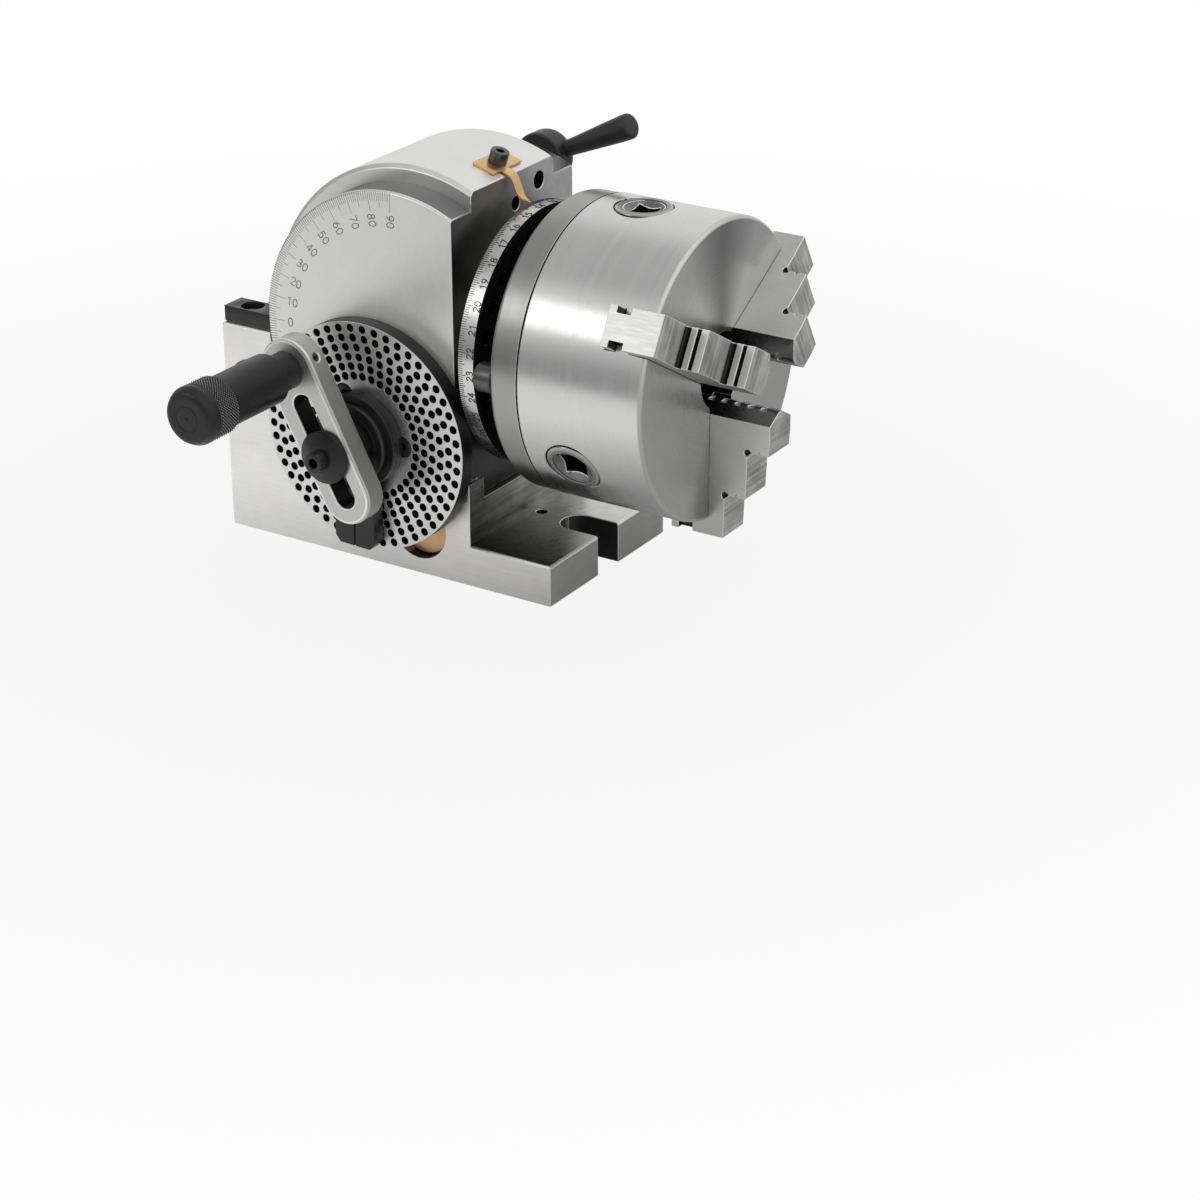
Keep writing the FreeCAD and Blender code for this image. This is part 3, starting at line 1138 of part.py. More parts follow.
doc.recompute()
for thing in doc.Objects:
    if "Invalid" in thing.State or "Error" in thing.State:
        raise RuntimeError("not built: " + thing.Label)
for thing in parts:
    if thing.Shape.isNull() or not thing.Shape.isValid():
        raise RuntimeError("no valid shape: " + thing.Label)
os.makedirs("parts", exist_ok=True)
for thing in parts:
    thing.Shape.exportStep("parts/" + thing.Label + ".step")
    print(thing.Label, len(thing.Shape.Solids), round(thing.Shape.Volume), thing.Shape.BoundBox)
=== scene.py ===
from math import cos, degrees, hypot, pi, radians, sin, tan

import bmesh
import bpy
from mathutils import Matrix, Vector


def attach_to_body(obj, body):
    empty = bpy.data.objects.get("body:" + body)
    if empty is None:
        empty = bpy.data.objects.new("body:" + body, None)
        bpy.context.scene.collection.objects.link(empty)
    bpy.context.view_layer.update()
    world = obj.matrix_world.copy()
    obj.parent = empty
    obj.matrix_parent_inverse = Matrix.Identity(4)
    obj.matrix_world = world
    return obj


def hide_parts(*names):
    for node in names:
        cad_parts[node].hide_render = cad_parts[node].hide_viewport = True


# Looks of a dividing head with an index plate, a crank and a three-jaw chuck.
# Lengths are millimetres in the part's own frame, turned into metres where a mesh is made.
# X runs along the spindle to the chuck, Y from the crank to the far side, Z up from the table.

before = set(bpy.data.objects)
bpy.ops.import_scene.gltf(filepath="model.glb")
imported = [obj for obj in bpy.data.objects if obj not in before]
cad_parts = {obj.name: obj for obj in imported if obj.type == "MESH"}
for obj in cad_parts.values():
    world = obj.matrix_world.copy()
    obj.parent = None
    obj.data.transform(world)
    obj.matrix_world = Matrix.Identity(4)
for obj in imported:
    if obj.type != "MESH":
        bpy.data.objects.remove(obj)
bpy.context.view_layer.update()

MM = 0.001
CREASE = 32  # degrees: where faces turn by more, an edge is sharp
SCREW_STEPS = 48  # points round a screw, a multiple of its hexagon's six

SPINDLE_HEIGHT = 100
SPINDLE_CENTRE = (0, 0, SPINDLE_HEIGHT)
WORM_CENTRE = (-9.6, 0, 61.4)
HANDLE_ANGLE = 118
HALF_WIDTH = 45  # from the middle to the outer faces of the end discs and the cheeks
POINTER_ANGLE = 17.6
HOLE_COUNTS = (37, 39, 41, 43, 47, 49)
FIRST_CIRCLE = 26.3
CIRCLE_STEP = 4.1
PIN_CIRCLE = FIRST_CIRCLE + 3 * CIRCLE_STEP
PINION_X = 92
PINION_ANGLES = (90, 210, 330)
JAW_ANGLES = (30, 150, 270)


# Places

def placed(x, y, z, point):
    """The place at a point whose local axes run along x, y and z."""
    place = Matrix((x, y, z)).transposed().to_4x4()
    place.translation = point
    return place


def around_spindle(angle):
    """Local X along the spindle, local Z along the radius at this angle."""
    a = radians(angle)
    return placed((1, 0, 0), (0, sin(a), -cos(a)), (0, cos(a), sin(a)), SPINDLE_CENTRE)


def around_worm(angle):
    """Local X outward along the worm, local Z along this angle in the plate's face."""
    a = radians(angle)
    return placed((0, -1, 0), (sin(a), 0, -cos(a)), (cos(a), 0, sin(a)), WORM_CENTRE)


def along(point, direction, up=(0, 0, 1)):
    """Local X along a direction from this point, local Z as near as can be to up."""
    x = Vector(direction).normalized()
    y = Vector(up).cross(x).normalized()
    return placed(x, y, x.cross(y), point)


def turned_out(angle, throw):
    """A turn about local X, then a step out along local Z."""
    return Matrix.Rotation(radians(angle), 4, "X") @ Matrix.Translation((0, 0, throw))


# Materials

class Nodes:
    """Short ways to add and link the nodes of a tree."""

    def __init__(self, tree):
        self.tree = tree

    def node(self, kind, **values):
        """A shader node; each value is a property of it or goes to the input of that name."""
        made = self.tree.nodes.new("ShaderNode" + kind)
        for key, value in values.items():
            if hasattr(made, key):
                setattr(made, key, value)
            else:
                made.inputs[key.replace("_", " ")].default_value = value
        return made

    def feed(self, value, socket):
        """Give a socket a constant or another node's output."""
        if isinstance(value, bpy.types.NodeSocket):
            self.tree.links.new(value, socket)
        else:
            socket.default_value = value

    def compute(self, kind, operation, *values):
        """Output of a Math or VectorMath node."""
        made = self.node(kind, operation=operation)
        for socket, value in zip(made.inputs, values):
            self.feed(value, socket)
        return made.outputs["Value" if operation in ("LENGTH", "DOT_PRODUCT") else 0]

    def split(self, vector):
        """Outputs X, Y and Z of a vector."""
        made = self.node("SeparateXYZ")
        self.feed(vector, made.inputs[0])
        return made.outputs

    def spread(self, fac, low, high, start=0.3, end=0.7, **values):
        """Stretch a texture's middle range to a wanted range."""
        made = self.node("MapRange", From_Min=start, From_Max=end, To_Min=low, To_Max=high, **values)
        self.feed(fac, made.inputs["Value"])
        return made.outputs["Result"]

    def mix(self, fac, first, second, **values):
        """Colour between two others, each a constant or an output."""
        made = self.node("Mix", data_type="RGBA", **values)
        for socket, value in ((0, fac), (6, first), (7, second)):
            self.feed(value, made.inputs[socket])
        return made.outputs[2]


class Finish(Nodes):
    """A material; its methods add grain, colour changes and bump."""

    def __init__(self, name, colour, metallic, roughness, **sockets):
        self.made = bpy.data.materials.new(name)
        self.made.use_nodes = True
        super().__init__(self.made.node_tree)
        self.shader = self.tree.nodes["Principled BSDF"]
        self.colour = colour
        self.roughness = roughness
        sockets.update(Base_Color=(*colour, 1), Metallic=metallic, Roughness=roughness)
        for socket, value in sockets.items():
            self.shader.inputs[socket.replace("_", " ")].default_value = value

    def place(self):
        """The point of the surface, in metres."""
        return self.node("TexCoord").outputs["Object"]

    def stretched(self, scale, turn=None):
        """Coordinates for grain that runs along the axis with the smallest scale, turned if need be."""
        if turn:
            mapping = self.node("Mapping", vector_type="TEXTURE", Rotation=turn,
                                Scale=[1 / share for share in scale])
        else:
            mapping = self.node("Mapping", Scale=scale)
        self.feed(self.place(), mapping.inputs["Vector"])
        return mapping.outputs["Vector"]

    def from_axis(self, centre, axis):
        """The offset from a centre, whole and without its share along an axis."""
        offset = self.compute("VectorMath", "SUBTRACT", self.place(), [c * MM for c in centre])
        across = [float(letter != axis) for letter in "XYZ"]
        return offset, self.compute("VectorMath", "MULTIPLY", offset, across)

    def turned(self, centre, axis, scale):
        """Coordinates for grain that runs round an axis through a centre."""
        offset, flat = self.from_axis(centre, axis)
        joined = self.node("CombineXYZ")
        radius = self.compute("VectorMath", "LENGTH", flat)
        for output, target in ((self.split(offset)[axis], "X"), (radius, "Y")):
            self.feed(self.compute("Math", "MULTIPLY", output, scale), joined.inputs[target])
        return joined.outputs[0]

    def noise(self, vector, scale=1.0, detail=3.0):
        made = self.node("TexNoise", Scale=scale, Detail=detail, Roughness=0.6)
        self.feed(vector, made.inputs["Vector"])
        return made.outputs["Fac"]

    def tint(self, fac, low, high):
        """Colour between two shares of the base colour."""
        ends = [[min(1, c * share) for c in self.colour] + [1] for share in (low, high)]
        self.feed(self.mix(fac, *ends), self.shader.inputs["Base Color"])

    def mottle(self, first, second, tone):
        """Tint by the mean of two textures."""
        mean = self.compute("Math", "MULTIPLY", self.compute("Math", "ADD", first, second), 0.5)
        self.tint(self.spread(mean, 0, 1, 0.35, 0.65), 1 - tone, 1 + tone)

    def multiply(self, tone):
        """Lay a tone over the colour that is there."""
        base = self.shader.inputs["Base Color"]
        self.feed(self.mix(1, base.links[0].from_socket, tone, blend_type="MULTIPLY"), base)

    def shade(self, direction, start, end, low, high):
        """Painted shade: a tone that changes along a direction, between two distances."""
        reach = self.compute("VectorMath", "DOT_PRODUCT", self.place(), direction)
        self.multiply(self.spread(reach, low, high, start * MM, end * MM))

    def fan(self, centre, low, high):
        """Painted reflection: dark wedges above and below the centre of a face turned about X, as a fan of
        reflections.
        """
        power, full = 1.4, 0.34
        unit = self.compute("VectorMath", "NORMALIZE", self.from_axis(centre, "X")[1])
        side = self.compute("Math", "ABSOLUTE", self.split(unit)["Y"])
        self.multiply(self.spread(self.compute("Math", "POWER", side, power), low, high, 0.0, full))

    def rough(self, fac, change):
        """Roughness that varies by this much both ways."""
        low, high = self.roughness - change, self.roughness + change
        self.feed(self.spread(fac, low, high), self.shader.inputs["Roughness"])

    def bump(self, fac, height):
        """Surface relief, height in millimetres."""
        made = self.node("Bump", Distance=height * MM)
        self.feed(fac, made.inputs["Height"])
        self.feed(made.outputs["Normal"], self.shader.inputs["Normal"])


def ground_metal(name, colour, roughness, scale, tone, relief=0.006, metallic=1.0, painted_shade_fall=None, turn=None):
    """Ground or milled face: fine lines one way, with a soft mottle; painted_shade_fall is a painted shade tone
    along a direction.
    """
    made = Finish(name, colour, metallic, roughness)
    lines = made.noise(made.stretched(scale, turn))
    made.mottle(lines, made.noise(made.place(), 60, 4), tone)
    if painted_shade_fall:
        made.shade(*painted_shade_fall)
    made.rough(lines, 0.05)
    made.bump(lines, relief)
    return made.made


def turned_metal(name, colour, roughness, centre, axis, tone=0.05, relief=0.004, fan=None):
    """Turned face: fine rings round an axis."""
    made = Finish(name, colour, 1.0, roughness, Anisotropic=0.55, Anisotropic_Rotation=0.25)
    rings, broad = [made.noise(made.turned(centre, axis, scale), 1, 2) for scale in (2500, 300)]
    made.mottle(rings, broad, tone)
    if fan:
        made.fan(centre, *fan)
    made.rough(broad, 0.03)
    made.bump(rings, relief)
    tangent = made.node("Tangent", direction_type="RADIAL", axis=axis)
    made.feed(tangent.outputs[0], made.shader.inputs["Tangent"])
    return made.made


def coated(name, colour, roughness, metallic, tone, relief, scale=900, gloss=0.5):
    """Black oxide, paint or plastic: an even coat with a fine grain and faint wear."""
    made = Finish(name, colour, metallic, roughness, Specular_IOR_Level=gloss)
    cloud = made.noise(made.place(), 90, 4)
    made.tint(made.spread(cloud, 0, 1), 1 - tone, 1 + tone)
    made.rough(cloud, 0.06)
    made.bump(made.noise(made.place(), scale, 3), relief)
    return made.made


FINE = (700, 700, 700)
IRON = ground_metal("ground_iron", (0.8, 0.795, 0.78), 0.36, (60, 900, 900), 0.06, 0.004)
# Low tops of the foot: milled grain on a darker copy of the iron, with painted shade that deepens towards -Y.
TOP_SHADE_IRON = ground_metal("milled_iron_painted_shade", (0.62, 0.62, 0.61), 0.3, (160, 700, 500), 0.2, 0.012,
                        painted_shade_fall=((0.35, 0.94, 0), -25, 60, 0.2, 1.2), turn=(0.6, 0, 0.7))
# Other +X faces of the base: milled streaks on a darker copy of the iron, with painted shade towards -Y.
BLOCK_SHADE_IRON = ground_metal("block_iron_painted_shade", (0.56, 0.56, 0.55), 0.34, (500, 22, 520), 0.55, 0.008,
                          painted_shade_fall=((0.35, 0.94, 0), -25, 60, 0.3, 0.95))
BODY_IRON = ground_metal("body_iron", (0.8, 0.8, 0.79), 0.36, (900, 900, 260), 0.035, 0.0012)
# End discs: a brighter, less metallic copy of the body iron, painted light.
DISC_LIT_IRON = ground_metal("disc_iron_painted_light", (0.92, 0.92, 0.91), 0.36, (900, 900, 260), 0.03, 0.0012, 0.5)
# Slot walls: near black, painted shade.
SLOT_SHADE_IRON = ground_metal("slot_iron_painted_shade", (0.07, 0.07, 0.07), 0.5, (400, 400, 400), 0.15)
# +X ends of the foot: a darker copy of the iron, painted shade.
END_SHADE_IRON = ground_metal("end_iron_painted_shade", (0.52, 0.52, 0.51), 0.36, (500, 160, 700), 0.08, 0.005)
# +X faces of the body: a darker copy of the iron, with painted shade that deepens towards the bottom and -Y.
FACE_SHADE_IRON = ground_metal("face_iron_painted_shade", (0.6, 0.6, 0.6), 0.36, (900, 200, 500), 0.1,
                         painted_shade_fall=((0, 0.8, 0.6), 50, 115, 0.12, 1.0))
# Groove band between the end discs and the drum: turned rings, dark as painted shade.
GROOVE_SHADE_IRON = turned_metal("groove_iron_painted_shade", (0.2, 0.2, 0.2), 0.42, SPINDLE_CENTRE, "Y", 0.12, 0.01)
# Bright rounded edges: painted highlight.
EDGE_HIGHLIGHT = ground_metal("edge_painted_highlight", (0.86, 0.86, 0.85), 0.42, (100, 100, 100), 0.04, 0.0005)
BEVEL_STEEL = ground_metal("bevel_steel", (0.62, 0.62, 0.61), 0.42, (100, 100, 100), 0.04, 0.0005)
CHUCK_STEEL = turned_metal("chuck_steel", (0.67, 0.67, 0.665), 0.28, SPINDLE_CENTRE, "X", 0.02, 0.0008)
# Chuck's front face: painted reflection, dark fan-shaped wedges above and below the centre.
CHUCK_FACE = turned_metal("chuck_face", (0.6, 0.6, 0.595), 0.27, SPINDLE_CENTRE, "X", 0.02, 0.0008,
                          fan=(0.42, 1.0))
BACKPLATE_STEEL = turned_metal("backplate_steel", (0.38, 0.38, 0.375), 0.34, SPINDLE_CENTRE, "X", 0.04, 0.002)
DIAL_STEEL = turned_metal("dial_steel", (0.7, 0.695, 0.68), 0.3, SPINDLE_CENTRE, "X", 0.08)
SPINDLE_STEEL = turned_metal("spindle_steel", (0.5, 0.5, 0.49), 0.3, SPINDLE_CENTRE, "X")
PLATE_STEEL = ground_metal("plate_steel", (0.7, 0.7, 0.69), 0.36, (800, 800, 800), 0.07, 0.005)
PLATE_RIM = turned_metal("plate_rim", (0.05, 0.05, 0.05), 0.4, WORM_CENTRE, "Y", 0.08)
ARM_STEEL = ground_metal("arm_steel", (0.56, 0.56, 0.55), 0.42, (700, 700, 300), 0.09)
JAW_STEEL = ground_metal("jaw_steel", (0.62, 0.62, 0.61), 0.38, (120, 900, 900), 0.05, 0.003)
PINION_STEEL = ground_metal("pinion_steel", (0.6, 0.6, 0.59), 0.3, FINE, 0.08)
# Pinion collars: a dark flat as painted shade and a lighter rim as painted highlight.
COLLAR_SHADE_STEEL = ground_metal("collar_steel_painted_shade", (0.28, 0.28, 0.275), 0.34, FINE, 0.08)
COLLAR_RIM_HIGHLIGHT = ground_metal("collar_rim_painted_highlight", (0.42, 0.42, 0.415), 0.24, FINE, 0.08)
# Grey for the pinions' mouths and the jaws' undersides: painted shade.
SHADED_STEEL = ground_metal("pinion_mouth", (0.2, 0.2, 0.2), 0.3, FINE, 0.1)
BRASS = ground_metal("brass", (0.76, 0.5, 0.24), 0.34, (400, 400, 400), 0.12)
BRONZE = ground_metal("bronze", (0.78, 0.48, 0.26), 0.42, (200, 500, 500), 0.1, 0.008)
# Near black for the pinions' sockets and the jaws' grooves, holes and rails: painted shade.
SOCKET_SHADE = coated("socket_painted_shade", (0.02, 0.02, 0.02), 0.3, 0.6, 0.3, 0.006)
BLACK_OXIDE = coated("black_oxide", (0.012, 0.012, 0.013), 0.34, 0, 0.3, 0.006)
# Lighter oxide for edges and some screws: painted highlight and sheen.
OXIDE_SHEEN = coated("oxide_painted_sheen", (0.12, 0.12, 0.12), 0.3, 0.8, 0.3, 0.004)
KNURL_BLACK = coated("knurl_black", (0.02, 0.02, 0.02), 0.3, 0, 0.2, 0.002, 1500, 0.8)
# Lighter knurl tips: painted highlight.
KNURL_TIP_HIGHLIGHT = coated("knurl_tips_painted_highlight", (0.24, 0.24, 0.24), 0.34, 0.6, 0.2, 0.002, 1500)
SATIN_BLACK = coated("satin_black", (0.012, 0.012, 0.0125), 0.4, 0, 0.2, 0.004, 1500, 0.4)
LEVER_BLACK = coated("lever_black", (0.026, 0.026, 0.0265), 0.4, 0, 0.2, 0.01, 700, 0.4)
# Near black in holes, sockets, recesses, gaps and the chuck's seam: painted shade.
SHADE_BLACK = coated("painted_shade_black", (0.004, 0.004, 0.004), 0.6, 0, 0.2, 0.004, 700, 0.1)
INK = coated("engraving_ink", (0.03, 0.03, 0.031), 0.6, 0, 0.3, 0.004)
PALE_INK = coated("engraving_grey", (0.16, 0.16, 0.16), 0.6, 0, 0.2, 0.004)


# Meshes

def linked(name, data):
    """An object of the scene for a mesh, curve, lamp or camera."""
    made = bpy.data.objects.new(name, data)
    bpy.context.scene.collection.objects.link(made)
    return made


def to_object(name, mesh, materials):
    """Link a mesh as an object, in metres and at the origin."""
    made = linked(name, mesh)
    for finish in materials:
        made.data.materials.append(finish)
    return made


def final_mesh(holder):
    """The mesh of an object with its modifiers. The object is removed."""
    bpy.context.view_layer.update()
    mesh = bpy.data.meshes.new_from_object(holder.evaluated_get(bpy.context.evaluated_depsgraph_get()))
    bpy.data.objects.remove(holder)
    return mesh


def edited(mesh, change):
    """The mesh after this change of its vertices, edges or faces."""
    work = bmesh.new()
    work.from_mesh(mesh)
    change(work)
    work.to_mesh(mesh)
    work.free()
    return mesh


def soft_edges(piece, width):
    """Small rounded outer edges, as a modifier."""
    limit = radians(CREASE)

    def weigh(work):
        weight = work.edges.layers.float.new("bevel_weight_edge")
        for edge in work.edges:
            sharp = len(edge.link_faces) == 2 and edge.calc_face_angle(0) > limit
            edge[weight] = float(sharp and edge.is_convex)

    edited(piece.data, weigh)
    made = piece.modifiers.new("edges", "BEVEL")
    made.width = width * MM
    made.segments = 2
    made.limit_method = "WEIGHT"
    made.use_clamp_overlap = False
    made.harden_normals = True
    return piece


def smooth(mesh, angle=CREASE):
    """Smooth faces, with creases where the surface turns sharply."""
    limit = radians(angle)

    def crease(work):
        for face in work.faces:
            face.smooth = True
        for edge in work.edges:
            edge.smooth = len(edge.link_faces) == 2 and edge.calc_face_angle(0) < limit

    return edited(mesh, crease)


def attach(piece, body, slot, *nodes):
    """Let a piece ride with a body and stand for these nodes of the model."""
    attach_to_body(piece, body)
    if nodes:
        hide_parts(*nodes)


def carve(mesh, cutters):
    """Cut closed meshes out of a mesh."""
    holder, tool = linked("carving", mesh), linked("cutter", cutters)
    cut = holder.modifiers.new("cut", "BOOLEAN")
    cut.object = tool
    cut.solver = "EXACT"
    made = final_mesh(holder)
    bpy.data.objects.remove(tool)
    return made


def moved(mesh, place):
    """A mesh in metres put into a place given in millimetres."""
    move = place.copy()
    move.translation = place.translation * MM
    mesh.transform(move)
    return mesh


def circle_points(across, up, radius, count):
    return [(across + radius * cos(2 * pi * step / count),
             up + radius * sin(2 * pi * step / count)) for step in range(count)]


def box_points(left, right, bottom, top):
    return [(left, bottom), (right, bottom), (right, top), (left, top)]


def ring_of(work, x, points):
    """Vertices at this distance along local X, at these points across it."""
    return [work.verts.new((x * MM, across * MM, up * MM)) for across, up in points]


def skin(work, rings, closed=False):
    """Faces between neighbouring rings of vertices; a ring of one vertex is a tip."""
    for first, second in zip(rings, rings[1:] + (rings[:1] if closed else [])):
        count = max(len(first), len(second))
        for step in range(count):
            after = (step + 1) % count
            corners = (first[step % len(first)], first[after % len(first)],
                       second[after % len(second)], second[step % len(second)])
            work.faces.new(list(dict.fromkeys(corners)))


def new_mesh(work, name):
    """A mesh of what a bmesh holds. The bmesh is freed."""
    mesh = bpy.data.meshes.new(name)
    work.to_mesh(mesh)
    work.free()
    return mesh


def closed_mesh(work, name):
    """The same with all faces turned outward."""
    bmesh.ops.recalc_face_normals(work, faces=work.faces)
    return new_mesh(work, name)


def prism(work, place, section, start, end):
    """A closed prism along local Y: section points are local X and Z."""
    rings = [[work.verts.new((place @ Vector((x, y, z))) * MM) for x, z in section] for y in (start, end)]
    skin(work, rings)
    for ring in rings:
        work.faces.new(ring)


def dressed(node, body, slot, materials, width, choose=None, edge=None, shape=None, cutters=None):
    """A piece with a node's own shape, its flat faces made whole and its outer edges rounded.

    choose picks each face's material by its centre and normal, edge is the roundings' material
    (a lighter one is a painted highlight), shape moves each point and cutters are cut away.
    """
    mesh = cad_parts[node].data.copy()
    mesh.materials.clear()

    def whole(work):
        bmesh.ops.remove_doubles(work, verts=work.verts, dist=2e-6)
        bmesh.ops.dissolve_limit(work, angle_limit=radians(0.5), verts=work.verts, edges=work.edges)
        if shape:
            for vert in work.verts:
                vert.co = shape(vert.co / MM) * MM

    def assign(work):
        for face in work.faces:
            finish = choose(face.calc_center_median() / MM, face.normal) if choose else materials[0]
            face.material_index = materials.index(finish)

    edited(mesh, whole)
    if cutters:
        mesh = carve(mesh, cutters)
    edited(mesh, assign)
    piece = to_object(node + "_dressed", smooth(mesh), materials + ([edge] if edge else []))
    soft_edges(piece, width)
    if edge:
        piece.modifiers["edges"].material = len(materials)
    attach(piece, body, slot, node)


def rounded(profile, radius, steps=4):
    """A profile with its corners rounded."""
    points = [profile[0]]
    for before, here, after in zip(profile, profile[1:], profile[2:]):
        corner = Vector(here)
        back = Vector(before) - corner
        ahead = Vector(after) - corner
        reach = min(radius, back.length * 0.45, ahead.length * 0.45)
        start = corner + back.normalized() * reach
        end = corner + ahead.normalized() * reach
        for step in range(steps + 1):
            t = step / steps
            points.append(tuple(start * (1 - t) ** 2 + corner * 2 * t * (1 - t) + end * t ** 2))
    return points + [profile[-1]]


def turned_piece(name, profile, place, body, slot, materials, nodes=(), steps=96, closed=False, choose=None):
    """A piece turned about local X: profile points are distance along and radius."""
    work = bmesh.new()
    rings = [ring_of(work, x, circle_points(0, 0, radius, steps if radius > 0 else 1)) for x, radius in profile]
    skin(work, rings, closed)
    mesh = closed_mesh(work, name)
    if choose:
        for face in mesh.polygons:
            face.material_index = materials.index(choose(face.center / MM))
    attach(to_object(name, smooth(moved(mesh, place)), materials), body, slot, *nodes)


def plate_mesh(name, outlines, thickness, bevel):
    """A flat plate with holes: outlines in local Y and Z, thickness along local X from zero."""
    curve = bpy.data.curves.new(name, "CURVE")
    curve.dimensions = "2D"
    curve.fill_mode = "BOTH"
    curve.extrude = thickness / 2 * MM - bevel * MM
    curve.bevel_depth = bevel * MM
    curve.bevel_resolution = 1
    curve.offset = -bevel * MM
    for points in outlines:
        spline = curve.splines.new("POLY")
        spline.points.add(len(points) - 1)
        for point, (across, up) in zip(spline.points, points):
            point.co = (across * MM, up * MM, 0, 1)
        spline.use_cyclic_u = True
    mesh = final_mesh(linked(name, curve))
    mesh.transform(placed((0, 1, 0), (0, 0, 1), (1, 0, 0), (thickness / 2 * MM, 0, 0)))
    mesh.materials.clear()
    return edited(mesh, lambda work: bmesh.ops.remove_doubles(work, verts=work.verts, dist=1e-6))


def arc(across, up, wide, high, start, end, steps=14):
    """Points of an ellipse's arc; angles in degrees."""
    points = []
    for step in range(steps + 1):
        a = radians(start + (end - start) * step / steps)
        points.append((across + wide * cos(a), up + high * sin(a)))
    return points


# Engraved digits as single strokes in a cell 0.62 wide and 1 high
DIGIT_WIDTH = 0.62
DIGIT_PITCH = 0.8
SIX = [arc(0.31, 0.31, 0.28, 0.29, 0, 360), [(0.05, 0.38), (0.12, 0.66), (0.42, 0.98)]]
DIGITS = {
    "0": [arc(0.31, 0.5, 0.29, 0.48, 0, 360, 20)],
    "1": [[(0.14, 0.76), (0.36, 0.98), (0.36, 0.02)]],
    "2": [arc(0.31, 0.71, 0.26, 0.27, 165, -35) + [(0.05, 0.02), (0.6, 0.02)]],
    "3": [arc(0.3, 0.75, 0.23, 0.23, 150, -90), arc(0.3, 0.27, 0.28, 0.25, 90, -150)],
    "4": [[(0.46, 0.02), (0.46, 0.98), (0.04, 0.3), (0.62, 0.3)]],
    "5": [[(0.54, 0.98), (0.14, 0.98), (0.1, 0.55)] + arc(0.3, 0.33, 0.28, 0.31, 128, -145)],
    "6": SIX,
    "7": [[(0.05, 0.98), (0.58, 0.98), (0.24, 0.02)]],
    "8": [arc(0.31, 0.75, 0.21, 0.23, 0, 360), arc(0.31, 0.27, 0.27, 0.25, 0, 360)],
    "9": [[(DIGIT_WIDTH - across, 1 - up) for across, up in stroke] for stroke in SIX],
}


class Marks:
    """Engraved marks gathered into one mesh; bend puts a flat point on the surface."""

    def __init__(self, bend):
        self.work = bmesh.new()
        self.bend = bend

    def add(self, points):
        """One flat mark between these points."""
        self.work.faces.new([self.work.verts.new(self.bend(*point)) for point in points])

    def digits(self, text, height, across, up, turn, width):
        """Digits centred at a place, turned anticlockwise."""
        pitch = DIGIT_PITCH * height
        c, s = cos(turn), sin(turn)
        start = -(pitch * (len(text) - 1) + DIGIT_WIDTH * height) / 2
        for index, letter in enumerate(text):
            for stroke in DIGITS[letter]:
                line = [Vector((start + index * pitch + x * height, (y - 0.5) * height)) for x, y in stroke]
                for first, second in zip(line, line[1:]):
                    step = (second - first).normalized() * width / 2
                    side = Vector((-step.y, step.x))
                    ends = [first - step + side, second + step + side,
                            second + step - side, first - step - side]
                    self.add([(across + p.x * c - p.y * s, up + p.x * s + p.y * c) for p in ends])

    def piece(self, name, finish, body, slot):
        """The marks as a thin layer over the surface."""
        made = to_object(name, new_mesh(self.work, name), [finish])
        depth = made.modifiers.new("depth", "SOLIDIFY")
        depth.thickness = 0.1 * MM
        depth.offset = -1
        attach(made, body, slot)


# Screws

def hexagon_points(inner):
    """Points round a hexagon with this inner radius, at the angles of a screw's circles."""
    points = []
    for step in range(SCREW_STEPS):
        a = 2 * pi * step / SCREW_STEPS
        reach = inner / cos(a % (pi / 3) - pi / 6)
        points.append((reach * cos(a), reach * sin(a)))
    return points


def knurled(points):
    """Every second point drawn in."""
    return [(a * 0.965, b * 0.965) if step % 2 else (a, b) for step, (a, b) in enumerate(points)]


def socket_screws(node, body, finish, places, seat, head, radius, flats, depth, shank, length,
                  knurl=False, bevel=0.4):
    """Socket-head screws along local X: the head's face at seat, its height and radius, the hexagon's
    width and depth, the shank's radius and length."""
    top, inner = seat + head, flats / 2
    circles = [(seat - length, shank), (seat - 0.01, shank), (seat, radius - bevel / 2),
               (seat + bevel / 2, radius), (top - bevel, radius), (top - bevel * 0.3, radius - bevel * 0.3),
               (top, radius - bevel), (top, inner * 1.22)]
    rings = [(x, circle_points(0, 0, reach, SCREW_STEPS)) for x, reach in circles]
    rings += [(top - 0.3, hexagon_points(inner)), (top - depth, hexagon_points(inner)),
              (top - depth - 0.5, circle_points(0, 0, 0.01, SCREW_STEPS))]
    if knurl:
        rings[3:5] = [(x, knurled(points)) for x, points in rings[3:5]]
    total = bmesh.new()
    for place in places:
        work = bmesh.new()
        loops = [ring_of(work, x, points) for x, points in rings]
        skin(work, loops)
        work.faces.new(loops[0][::-1])
        part = closed_mesh(work, "screw")
        for face in part.polygons:
            x, across = face.center.x, hypot(face.center.y, face.center.z)
            # Faces inside the hexagon socket take the second material, near black as painted shade.
            face.material_index = int(x > (top - depth - 1) * MM and across < inner * 1.1 * MM)
        total.from_mesh(moved(part, place))
        bpy.data.meshes.remove(part)
    mesh = smooth(new_mesh(total, node), 28)
    attach(to_object(node + "_made", mesh, [finish, SHADE_BLACK]), body, "black_oxide", node)


# Pieces of the base

